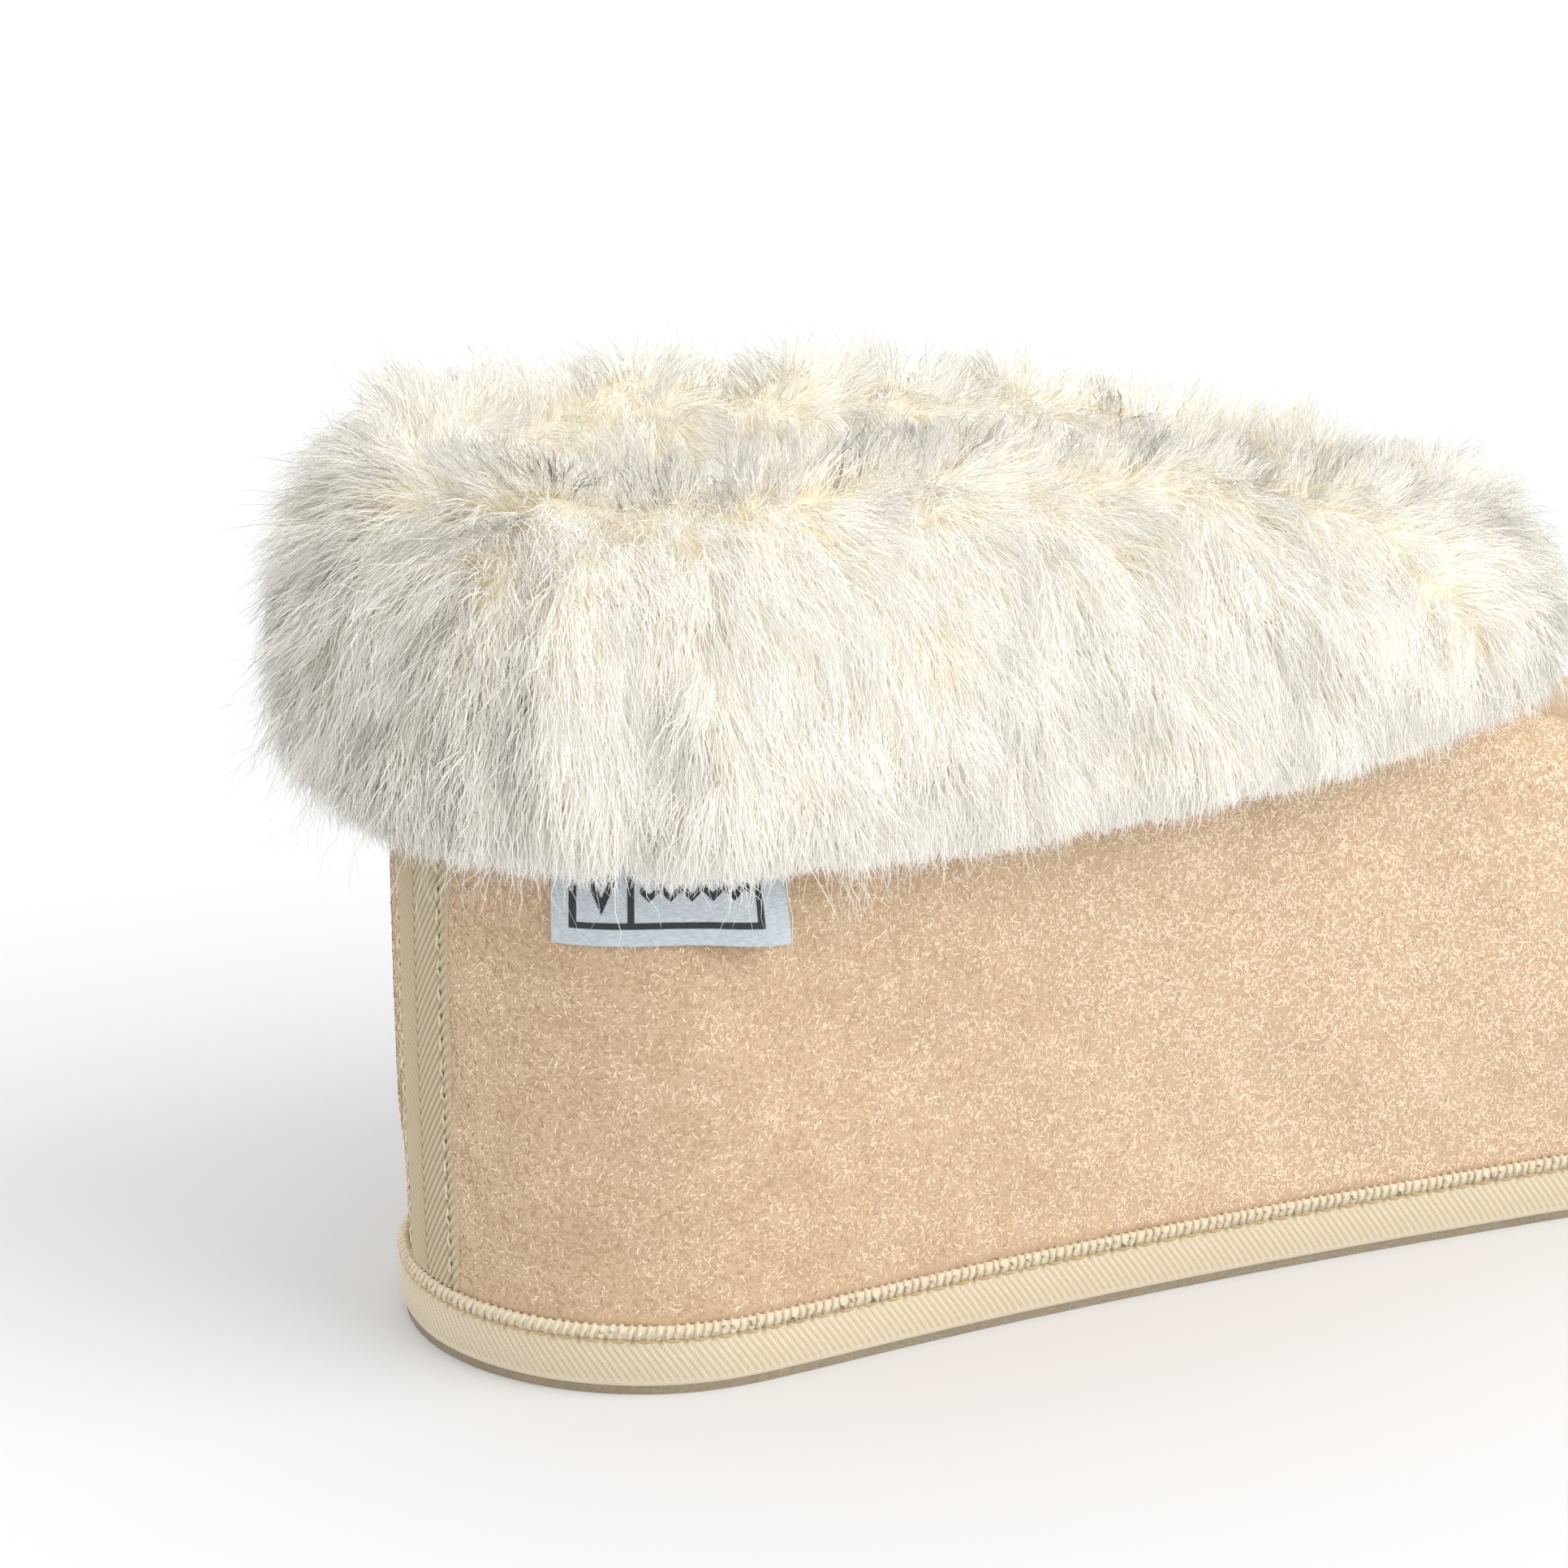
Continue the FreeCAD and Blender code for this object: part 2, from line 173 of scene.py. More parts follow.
def stretch(loop, first, last, via):
    """The part of a closed loop from index first to index last that passes index via."""
    n = len(loop)
    ahead = [(first + i) % n for i in range((last - first) % n + 1)]
    back = [(first - i) % n for i in range((first - last) % n + 1)]
    return loop[ahead] if via in ahead else loop[back]


def ring_points(lines, places):
    """Grid of 3-D points, station by station, from (reach, height) lines."""
    grid = []
    for line, (origin, direction) in zip(lines, places):
        flat = origin + line[:, :1] * direction
        grid.append(np.column_stack([flat, line[:, 1]]))
    return np.array(grid)


def soften(grid, times):
    """Evens a grid out round the ring."""
    for _ in range(times):
        grid = 0.5 * grid + 0.25 * (np.roll(grid, 1, axis=0) + np.roll(grid, -1, axis=0))
    return grid


def unit(v):
    """Vectors scaled to length 1."""
    return v / np.maximum(np.linalg.norm(v, axis=-1, keepdims=True), 1e-12)


def slopes(grid, closed=True):
    """(direction round the ring, direction up the section, outward normal) at each grid point."""
    if closed:
        around = np.roll(grid, -1, axis=0) - np.roll(grid, 1, axis=0)
    else:
        around = np.gradient(grid, axis=0)
    along = np.gradient(grid, axis=1)
    return unit(around), unit(along), unit(np.cross(around, along))


def field(points, size, seed, count=26):
    """Smooth random value of about unit spread at each point, with lumps of a given size."""
    rng = np.random.default_rng(seed)
    waves = unit(rng.normal(size=(count, 3))) * rng.uniform(0.6, 1.4, (count, 1)) * 2 * math.pi / size
    phases = rng.uniform(0, 2 * math.pi, count)
    return np.cos(points @ waves.T + phases).sum(-1) * math.sqrt(2 / count) / 1.4


def smooth_step(x, low, high):
    """0 below low, 1 above high, smooth between."""
    t = np.clip((x - low) / (high - low), 0, 1)
    return t * t * (3 - 2 * t)


# ---------------------------------------------------------------- meshes and materials

def make_mesh(name, points, quads, materials, body="shoe", slots=None, normals=None):
    """A new smooth mesh piece that rides on a body."""
    mesh = bpy.data.meshes.new(name)
    quads = np.asarray(quads, np.int32)
    mesh.vertices.add(len(points))
    mesh.vertices.foreach_set("co", np.asarray(points, np.float32).ravel())
    mesh.loops.add(quads.size)
    mesh.loops.foreach_set("vertex_index", quads.ravel())
    mesh.polygons.add(len(quads))
    sides = quads.shape[1]
    mesh.polygons.foreach_set("loop_start", np.arange(0, quads.size, sides, dtype=np.int32))
    mesh.polygons.foreach_set("use_smooth", np.full(len(quads), True))
    if slots is not None:
        mesh.polygons.foreach_set("material_index", np.asarray(slots, np.int32))
    for material in materials:
        mesh.materials.append(material)
    mesh.update(calc_edges=True)
    if normals is not None:
        mesh.normals_split_custom_set_from_vertices(normals.tolist())
    obj = bpy.data.objects.new(name, mesh)
    bpy.context.scene.collection.objects.link(obj)
    if body:
        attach(obj, body)
    return obj


def grid_quads(rows, columns, closed_rows=True, closed_columns=False):
    """Quads over a grid of points that is stored row by row."""
    a = np.arange(rows if closed_rows else rows - 1)[:, None]
    b = np.arange(columns if closed_columns else columns - 1)[None, :]
    a2, b2 = (a + 1) % rows, (b + 1) % columns
    corners = [a * columns + b, a2 * columns + b, a2 * columns + b2, a * columns + b2]
    return np.stack(corners, axis=-1).reshape(-1, 4)


def grid_piece(name, grid, material, closed=True, closed_columns=False, body="shoe", tone=None):
    """A piece over a grid of points; tone is a value at each point that its material can read."""
    rows, columns = grid.shape[:2]
    obj = make_mesh(name, grid.reshape(-1, 3), grid_quads(rows, columns, closed, closed_columns),
                    [material], body)
    if tone is not None:
        attribute = obj.data.attributes.new("tone", "FLOAT", "POINT")
        attribute.data.foreach_set("value", np.asarray(tone, np.float32).ravel())
    return obj


def tubes(name, paths, radius, material, sides=6, body="shoe", flatten=1.0):
    """Round threads along many short paths, an array (thread, point, 3), tapered to closed ends."""
    count, steps = paths.shape[:2]
    tangent = unit(np.gradient(paths, axis=1))
    side = unit(np.cross(tangent, UP + 0.13))
    other = np.cross(tangent, side)
    angle = 2 * math.pi * np.arange(sides) / sides
    swell = np.sqrt(np.clip(1 - np.linspace(-0.995, 0.995, steps) ** 6, 0, 1))[:, None, None]
    ring = (side[:, :, None] * np.cos(angle)[:, None] + other[:, :, None] * np.sin(angle)[:, None] * flatten)
    points = (paths[:, :, None] + ring * radius * swell).reshape(-1, 3)
    quads = grid_quads(steps, sides, closed_rows=False, closed_columns=True)
    offsets = (np.arange(count) * steps * sides)[:, None, None]
    return make_mesh(name, points, (quads[None] + offsets).reshape(-1, 4), [material], body)


WHITE = (1.0, 1.0, 1.0)


def nodes_of(name):
    """A new node material: (material, its tree, its Principled shader)."""
    material = bpy.data.materials.new(name)
    material.use_nodes = True
    return material, material.node_tree, material.node_tree.nodes["Principled BSDF"]


def add(tree, kind, inputs=(), **settings):
    """A node with settings, and inputs as (socket, value or output socket)."""
    node = tree.nodes.new(kind)
    for key, value in settings.items():
        setattr(node, key, value)
    for socket, value in inputs:
        if isinstance(value, bpy.types.NodeSocket):
            tree.links.new(value, node.inputs[socket])
        else:
            node.inputs[socket].default_value = value
    return node


def rgba(colour):
    """A colour with full alpha."""
    return (*colour, 1.0)


def noise(tree, size, detail=3.0, stretch_by=(1, 1, 1), rough=0.55):
    """Noise over the piece's own coordinates, with lumps of a given size in metres."""
    place = add(tree, "ShaderNodeTexCoord")
    scaled = add(tree, "ShaderNodeMapping", [("Vector", place.outputs["Object"]), ("Scale", stretch_by)])
    return add(tree, "ShaderNodeTexNoise", [("Vector", scaled.outputs[0]), ("Scale", 1 / size),
                                            ("Detail", detail), ("Roughness", rough)]).outputs["Fac"]


def ramp(tree, value, stops):
    """Colour ramp over (position, colour) stops."""
    node = add(tree, "ShaderNodeValToRGB", [("Fac", value)])
    points = node.color_ramp.elements
    while len(points) < len(stops):
        points.new(0.5)
    for point, (position, colour) in zip(points, stops):
        point.position = position
        point.color = rgba(colour)
    return node.outputs["Color"]


def mix(tree, share, a, b, how="MIX"):
    """Mix of two colours."""
    node = add(tree, "ShaderNodeMix", data_type="RGBA", blend_type=how)
    for socket, value in ((0, share), (6, a), (7, b)):
        if isinstance(value, bpy.types.NodeSocket):
            tree.links.new(value, node.inputs[socket])
        else:
            node.inputs[socket].default_value = value if socket == 0 else rgba(value)
    return node.outputs[2]


def bump(tree, shader, height, distance, strength=1.0):
    """Bump from a height output."""
    node = add(tree, "ShaderNodeBump", [("Height", height), ("Distance", distance), ("Strength", strength)])
    tree.links.new(node.outputs["Normal"], shader.inputs["Normal"])


def shade(shader, roughness, sheen=0.0, tint=WHITE, specular=0.3):
    """Constant settings, which stay on the shader's own sockets."""
    shader.inputs["Roughness"].default_value = roughness
    shader.inputs["Sheen Weight"].default_value = sheen
    shader.inputs["Sheen Roughness"].default_value = 0.5
    shader.inputs["Sheen Tint"].default_value = rgba(tint)
    shader.inputs["Specular IOR Level"].default_value = specular


def suede(name, light, dark):
    """Napped suede: brushed patches, fine clumped nap and a soft sheen."""
    material, tree, shader = nodes_of(name)
    patches = noise(tree, 22 * MM, 3.0, (1, 1, 1.3))
    strokes = noise(tree, 4 * MM, 4.0, (0.8, 0.8, 1.4))
    fibres = noise(tree, 0.7 * MM, 6.0, (1, 1, 0.8), 0.75)
    between = tuple(0.3 * b + 0.7 * a for a, b in zip(light, dark))
    base = ramp(tree, fibres, ((0.33, dark), (0.45, between), (0.66, light)))
    worn = mix(tree, 0.5, base, ramp(tree, strokes, ((0.3, (0.88,) * 3), (0.7, WHITE))), "MULTIPLY")
    cloudy = mix(tree, 0.7, worn, ramp(tree, patches, ((0.3, (0.93, 0.92, 0.9)), (0.7, WHITE))), "MULTIPLY")
    tree.links.new(cloudy, shader.inputs["Base Color"])
    bump(tree, shader, fibres, 0.5 * MM, 0.7)
    shade(shader, 0.95, 0.25, (1.0, 0.93, 0.85), 0.1)
    return material


def woven(name, light, dark):
    """Woven or twisted yarn: tone darkens the hollows between the yarns with painted shade."""
    material, tree, shader = nodes_of(name)
    painted_hollow_shade = add(tree, "ShaderNodeAttribute", attribute_name="tone").outputs["Fac"]
    fuzz = noise(tree, 0.35 * MM, 4.0)
    base = ramp(tree, fuzz, ((0.3, tuple(0.9 * c for c in light)), (0.7, light)))
    tree.links.new(mix(tree, painted_hollow_shade, base, dark), shader.inputs["Base Color"])
    bump(tree, shader, fuzz, 0.08 * MM, 0.6)
    shade(shader, 0.8, 0.15, WHITE, 0.2)
    return material


def grainy(name, light, dark, size, roughness, depth=0.1 * MM, sheen=0.0):
    """Plain material with grain: rubber, foam, board, hide or felt."""
    material, tree, shader = nodes_of(name)
    fine = noise(tree, size, 6.0, rough=0.65)
    broad = noise(tree, size * 14, 2.0)
    base = ramp(tree, fine, ((0.3, dark), (0.7, light)))
    clouds = ramp(tree, broad, ((0.3, (0.82,) * 3), (0.7, WHITE)))
    tree.links.new(mix(tree, 0.4, base, clouds, "MULTIPLY"), shader.inputs["Base Color"])
    bump(tree, shader, fine, depth, 0.7)
    shade(shader, roughness, sheen)
    return material


def fibre_tone(name, colour):
    """One tone of wool or suede fibre."""
    material, _, shader = nodes_of(name)
    shader.inputs["Base Color"].default_value = rgba(colour)
    shade(shader, 0.75, 0.0, WHITE, 0.15)
    return material


def wool_under(name, pale, gold):
    """The dense under-wool between the strands: cream with golden patches, and painted shade, darker and
    golden, between the locks.
    """
    material, tree, shader = nodes_of(name)
    patches = noise(tree, 16 * MM, 3.0)
    locks = noise(tree, 1.4 * MM, 5.0, (1, 1, 0.3), 0.7)
    base = mix(tree, ramp(tree, patches, ((0.42, (0, 0, 0)), (0.62, WHITE))), pale, gold)
    # painted shade: darker and golden between the locks
    painted_gap_shade = ramp(tree, locks, ((0.3, (0.84, 0.77, 0.63)), (0.6, WHITE)))
    tree.links.new(mix(tree, 0.6, base, painted_gap_shade, "MULTIPLY"), shader.inputs["Base Color"])
    bump(tree, shader, locks, 0.8 * MM, 0.8)
    shade(shader, 0.9, 0.2, (1, 0.97, 0.9), 0.1)
    return material


SUEDE = suede("suede", (0.74, 0.555, 0.375), (0.50, 0.335, 0.20))
SUEDE_TONES = [fibre_tone("nap_dark", (0.53, 0.37, 0.225)), fibre_tone("nap_mid", (0.73, 0.55, 0.37)),
               fibre_tone("nap_light", (0.88, 0.72, 0.54))]
HIDE = grainy("hide", (0.72, 0.56, 0.40), (0.58, 0.42, 0.28), 0.6 * MM, 0.85, 0.15 * MM, 0.2)
# The second colours of twill and herringbone are the painted shade in their hollows and grooves.
TWILL = woven("twill", (0.79, 0.69, 0.52), (0.38, 0.30, 0.17))
HERRINGBONE = woven("herringbone", (0.64, 0.54, 0.37), (0.21, 0.17, 0.095))
LOOP_THREAD = woven("loop_thread", (0.78, 0.685, 0.52), (0.44, 0.35, 0.21))
GOLD_THREAD = woven("gold_thread", (0.56, 0.42, 0.22), (0.26, 0.17, 0.08))
RUBBER = grainy("outsole_rubber", (0.36, 0.30, 0.21), (0.24, 0.20, 0.14), 0.5 * MM, 0.7)
FOAM = grainy("midsole_foam", (0.66, 0.60, 0.48), (0.55, 0.49, 0.38), 0.4 * MM, 0.9)
BOARD = grainy("board", (0.45, 0.36, 0.25), (0.33, 0.26, 0.18), 0.5 * MM, 0.9)
FELT = grainy("felt", (0.70, 0.58, 0.42), (0.55, 0.44, 0.30), 0.7 * MM, 0.95, 0.2 * MM, 0.3)
UNDER_WOOL = wool_under("under_wool", (0.97, 0.93, 0.83), (0.94, 0.83, 0.60))
WOOL_TONES = [fibre_tone("wool_deep", (0.93, 0.80, 0.54)), fibre_tone("wool_gold", (0.97, 0.90, 0.72)),
              fibre_tone("wool_cream", (0.985, 0.935, 0.81)), fibre_tone("wool_pale", (0.99, 0.955, 0.86)),
              fibre_tone("wool_white", (0.995, 0.97, 0.90))]


# ---------------------------------------------------------------- wool

class Pelt:
    """A closed ring of points that wool grows from, with its normals and the way the wool is combed."""

    def __init__(self, grid, comb):
        self.grid = grid
        self.normal = slopes(grid)[2]
        self.comb = comb
        around = np.roll(grid, -1, axis=0) - grid
        self.areas = np.linalg.norm(np.cross(around[:, :-1], np.diff(grid, axis=1)), axis=-1)

    def scatter(self, count, rng, density=None):
        """Random grid places, even over the area unless density, one value a place, weighs them."""
        area = self.areas
        if density is not None:
            area = area * density[:, :area.shape[1]]
        picked = rng.choice(area.size, count, p=area.ravel() / area.sum())
        u = picked // area.shape[1] + rng.random(count)
        v = picked % area.shape[1] + rng.random(count)
        return u, v

    def at(self, values, u, v):
        """Values of a grid at fractional places."""
        rows, columns = values.shape[:2]
        i = np.floor(u).astype(int)
        j = np.minimum(np.floor(v).astype(int), columns - 2)
        a = (u - i).reshape(-1, *[1] * (values.ndim - 2))
        b = (v - j).reshape(-1, *[1] * (values.ndim - 2))
        i, i2 = i % rows, (i + 1) % rows
        low = values[i, j] * (1 - a) + values[i2, j] * a
        high = values[i, j + 1] * (1 - a) + values[i2, j + 1] * a
        return low * (1 - b) + high * b


def bent(root, start, end, length, steps):
    """Points along strands that leave root along start and turn towards end."""
    s = np.linspace(0, 1, steps + 1)[None, :, None]
    turned = start[:, None] * (s - s * s / 2) + end[:, None] * s * s / 2
    return root[:, None] + length[:, None, None] * turned


def nearest(places, wanted):
    """Index of the nearest of places to each wanted point."""
    tree = KDTree(len(places))
    for i, p in enumerate(places):
        tree.insert(p, i)
    tree.balance()
    return np.array([tree.find(p)[1] for p in wanted])


def wool(name, pelt, count, lock, length, lift, droop, rng, width=0.17 * MM, steps=6, body="shoe",
         density=None, clump=0.34, tones=(1, 2, 2, 3, 3, 4), crimp=0.3 * MM, partings=()):
    """Strands of wool in locks about lock across, in pieces small enough to keep every strand.

    length, lift (0 along the comb, 1 straight out) and droop are grids of values over the pelt. tones are the
    WOOL_TONES of a strand's steps, root first. A parting is (centre, axis, reach)."""
    locks = max(int(pelt.areas.sum() / lock**2), 8)
    big_locks = max(locks // 9, 4)
    levels = []
    for number in (big_locks, locks):
        u, v = pelt.scatter(number, rng, density)
        root = pelt.at(pelt.grid, u, v)
        normal = unit(pelt.at(pelt.normal, u, v))
        comb = pelt.at(pelt.comb, u, v)
        rise = pelt.at(lift, u, v)[:, None]
        sway = np.stack([field(root, 13 * MM, 40 + k) for k in range(3)], axis=-1) * 0.24
        twist = rng.normal(size=(number, 3)) * 0.12
        start = unit(normal * (0.35 + rise) + comb * (1 - rise) + sway * 0.5 + twist)
        end = unit(normal * (rise - 0.15) + comb * (1.15 - rise) + sway + twist
                   - UP * pelt.at(droop, u, v)[:, None])
        size = pelt.at(length, u, v) * rng.uniform(0.9, 1.08, number)
        for centre, axis, reach in partings:
            gap = root - centre
            away = gap - (gap @ axis)[:, None] * axis
            near = np.exp(-(gap**2).sum(1) / reach**2)[:, None]
            size = size * (1 - 0.45 * near[:, 0])
            start = unit(start + unit(away) * near * 0.9)
            end = unit(end + unit(away) * near * 1.2)
        levels.append((root, start, end, size))
    big, small = levels
    owner = nearest(big[0], small[0])
    pull = (np.linspace(0, 1, steps + 1) ** 1.4)[None, :, None]
    lines = bent(*small, steps)
    lines = lines + (bent(*(x[owner] for x in big), steps) - lines) * pull * 0.38
    u, v = pelt.scatter(count, rng, density)
    root = pelt.at(pelt.grid, u, v)
    owner = nearest(small[0], root)
    normal = unit(pelt.at(pelt.normal, u, v))
    jitter = rng.normal(size=(count, 3)) * 0.17
    start = unit(small[1][owner] + jitter)
    end = unit(small[2][owner] + jitter * 1.6 + rng.normal(size=(count, 3)) * 0.12)
    size = small[3][owner] * rng.uniform(0.72, 1.12, count)
    strand = bent(root, start, end, size, steps)
    guide = lines[owner]
    strand = strand + (guide - strand) * pull * clump * rng.uniform(0.5, 1.2, count)[:, None, None]
    s = np.linspace(0, 1, steps + 1)[None, :, None]
    wave = rng.uniform(0.28, 0.5, count)[:, None, None] * size[:, None, None] / MM
    phase = rng.uniform(0, 2 * math.pi, (count, 1, 2))
    across = unit(np.cross(end, normal))[:, None]
    outward = normal[:, None]
    strand = strand + crimp * s * (across * np.sin(wave * s * 2 * math.pi * 0.5 + phase[..., :1])
                                   + 0.7 * outward * np.sin(wave * s * 2 * math.pi * 0.4 + phase[..., 1:]))
    strand[:, 1:] += rng.normal(size=(count, steps, 3)) * crimp * 0.22
    warm = (field(root, 15 * MM, 71) > 1.1).astype(int) + (rng.random(count) < 0.08)
    light = (field(root, 9 * MM, 72) > 0.2).astype(int)
    # Low tones give darker golden roots: partly the wool's own colour, partly painted shade deep in the pile.
    level = np.clip(np.array(tones)[None, :steps] - warm[:, None] + light[:, None], 0, 4)
    ribbons(name, strand, normal, (strand - guide) / lock, width, rng, level, WOOL_TONES, body)


def ribbons(name, strand, normal, lean, width, rng, level, materials, body="shoe"):
    """Flat tapered ribbons along strands, in pieces, shaded as a soft mass by normals near the pelt's own.

    A strand that stands up is seen from both sides, so it gets a second face."""
    count, points = strand.shape[:2]
    tangent = unit(np.gradient(strand, axis=1))
    facing = normal[:, None] + rng.normal(size=(count, 1, 3)) * 0.22
    side = unit(np.cross(tangent, facing))
    face = np.cross(side, tangent)
    taper = np.interp(np.linspace(0, 1, points), (0, 0.25, 0.7, 1), (0.8, 1.0, 0.75, 0.2))[None, :, None]
    half = side * taper * width * rng.uniform(0.3, 0.65, count)[:, None, None]
    standing = np.abs((tangent * normal[:, None]).sum(-1)).mean(1) > 0.22
    soft = 0.8 * normal[:, None] + 0.3 * lean
    quads = grid_quads(points, 2, closed_rows=False)[:, [0, 3, 2, 1]]
    front = (strand, half, unit(soft + 0.5 * face), level)
    back = tuple(x[standing] for x in (strand - face * 0.02 * MM, -half, unit(soft - 0.5 * face), level))
    middle, half, shading, level = (np.concatenate(pair) for pair in zip(front, back))
    edges = np.stack([middle - half, middle + half], axis=2)
    normals = np.repeat(shading[:, :, None], 2, axis=2)
    share = PIECE_QUADS // (points - 1)
    for k, first in enumerate(range(0, len(edges), share)):
        part = slice(first, first + share)
        offsets = (np.arange(len(edges[part])) * points * 2)[:, None, None]
        piece = make_mesh(f"{name}_{k + 1:02d}", edges[part].reshape(-1, 3),
                          (quads[None] + offsets).reshape(-1, 4), materials, body,
                          slots=level[part].ravel(), normals=normals[part].reshape(-1, 3))
        piece.visible_shadow = False  # stands in for the light that real fibres let through


# ---------------------------------------------------------------- collar

low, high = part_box("collar_wool")
COLLAR_HALF = (high.y - low.y) / 2
COLLAR_SPINE = (low.x + COLLAR_HALF, high.x - COLLAR_HALF)


def collar():
    """The turned-down sheepskin: hide, under-wool and long wool combed down over the outside."""
    places = stations(COLLAR_SPINE, COLLAR_HALF, COLLAR_STATIONS)
    mesh = node_mesh("collar_wool")
    outer_rows, inner_rows = 34, 26
    lines = []
    for place in places:
        loop = section(mesh, place)
        ridge = int(np.argmax(loop[:, 1]))
        outside = loop[:, 0] > loop[ridge, 0]
        first = int(np.argmin(np.where(outside, loop[:, 1], np.inf)))
        last = int(np.argmin(np.where(outside, np.inf, loop[:, 1])))
        out = resample(stretch(loop, first, ridge, int(np.argmax(loop[:, 0]))), outer_rows)
        back = resample(stretch(loop, ridge, last, int(np.argmin(loop[:, 0]))), inner_rows)
        lines.append(np.concatenate([out, back[1:]]))
    skin = soften(ring_points(lines, places), 4)
    _, along, normal = slopes(skin)
    rows = skin.shape[1]
    v = np.linspace(0, 1, rows)[None, :]
    ridge_v = (outer_rows - 1) / (rows - 1)
    inside = smooth_step(v, ridge_v - 0.02, ridge_v + 0.2)
    comb = along * (2 * inside - 1)[..., None]
    depth = 3.6 * MM * np.sin(np.clip(v, 0, 1) * math.pi) ** 0.35
    lumps = field(skin, 24 * MM, 3) * 1.5 * MM + field(skin, 11 * MM, 4) * 0.8 * MM
    lumps = lumps * smooth_step(v, 0.0, 0.15)
    core = skin - normal * (depth - lumps)[..., None]
    piece = grid_piece("collar_under_wool", core, UNDER_WOOL)
    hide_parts("collar_wool")

    pelt = Pelt(core, comb)
    heel = 1 - smooth_step(core[..., 0], COLLAR_SPINE[0], COLLAR_SPINE[0] + 60 * MM)
    outer = 1 - smooth_step(v, ridge_v * 0.75, ridge_v * 1.1)
    length = (8.0 + 1.4 * outer + 1.0 * heel * outer + 0.7 * field(core, 17 * MM, 8)) * MM
    length = length * (1 - 0.2 * inside)
    above_edge = np.cumsum(np.linalg.norm(np.diff(core, axis=1, prepend=core[:, :1]), axis=-1), axis=1)
    length = np.minimum(length, (1.2 + 1.6 * heel) * MM + 0.8 * above_edge)
    lift = 0.32 + 0.36 * np.exp(-((v - ridge_v) / 0.18) ** 2) + 0.07 * field(core, 20 * MM, 9)
    lift = np.clip(lift, 0.1, 0.95)
    droop = np.broadcast_to(0.35 * outer, lift.shape)
    parting_axis = unit(np.array([1.0, 0, -0.9]))
    spot = pelt.grid[int(0.52 * len(places)), int(0.32 * rows)]
    wool("collar_wool", pelt, int(COLLAR_STRANDS * DENSITY), 2.0 * MM, length, lift, droop,
         np.random.default_rng(11), width=0.13 * MM, steps=4, tones=(1, 3, 3, 4),
         partings=((spot, parting_axis, 9 * MM),))

    stray = length * (1.25 + 0.5 * heel * (1 - smooth_step(v, 0.0, 0.35)))
    wool("collar_stray", pelt, int(STRAY_STRANDS * DENSITY), 5.0 * MM, stray, np.clip(lift + 0.12, 0, 1),
         droop * 0.6, np.random.default_rng(13), width=0.09 * MM, tones=(2, 2, 3, 3, 4, 4), crimp=0.5 * MM,
         clump=0.12)

    edge = pelt.grid[:, :6]
    fringe = Pelt(edge, comb[:, :6])
    hang = (1.6 + 2.0 * heel[:, :6] + 1.0 * field(edge, 12 * MM, 18)) * MM
    wool("collar_fringe", fringe, int(FRINGE_STRANDS * DENSITY), 2.2 * MM, hang, np.full(hang.shape, 0.25),
         np.full(hang.shape, 0.55), np.random.default_rng(12), width=0.12 * MM,
         tones=(2, 3, 3, 4, 4, 4), crimp=0.4 * MM, clump=0.75)

    hide_mesh = node_mesh("collar_skin")
    loops = []
    for place in places:
        loop = section(hide_mesh, place)
        first = int(np.argmin(np.where(loop[:, 0] > loop[:, 0].mean(), loop[:, 1], np.inf)))
        loop = np.roll(loop, -first, axis=0)
        if loop[len(loop) // 12, 0] < loop[-len(loop) // 12, 0]:
            loop = np.roll(loop[::-1], 1, axis=0)
        loops.append(resample(np.concatenate([loop, loop[:1]]), 61)[:-1])
    band = soften(ring_points(loops, places), 3)
    band = band + slopes(band)[2] * (field(band, 9 * MM, 5) * 0.12 * MM)[..., None]
    piece = grid_piece("collar_hide", band, HIDE, closed_columns=True)
    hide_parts("collar_skin")


# ---------------------------------------------------------------- upper

low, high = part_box("upper_wall")
HEEL_CENTRE = COLLAR_SPINE[0]
TOE_CENTRE = high.x - 0.8 * (high.y - low.y)
UPPER_SPINE = (HEEL_CENTRE, TOE_CENTRE)
HEEL_RADIUS = HEEL_CENTRE - low.x
WALL_TREE = node_tree("upper_wall")


def wall_lines(node, places, outer_rows, inner_rows, inner_length):
    """Up the outside of a wall ring, over its top edge and down inside it, at each station."""
    mesh = node_mesh(node)
    lines = []
    for place in places:
        loop = section(mesh, place)
        if not len(loop):  # the heel slit, which the tape covers
            lines.append(lines[-1])
            continue
        peak = int(np.argmax(loop[:, 1] + 0.2 * loop[:, 0]))
        first = int(np.argmax(loop[:, 0] - 6 * loop[:, 1]))
        last = int(np.argmin(loop[:, 0] + 6 * loop[:, 1]))
        middle = loop[:, 1].mean()
        tall = np.abs(loop[:, 1] - middle)
        via = int(np.argmin(tall - 2 * loop[:, 0]))
        out = resample(stretch(loop, first, peak, via), outer_rows)
        back = stretch(loop, peak, last, int(np.argmin(tall + 2 * loop[:, 0])))
        along = np.concatenate([[0], np.cumsum(np.linalg.norm(np.diff(back, axis=0), axis=1))])
        back = resample(back[along <= inner_length], inner_rows)
        lines.append(np.concatenate([out, back[1:]]))
    return lines


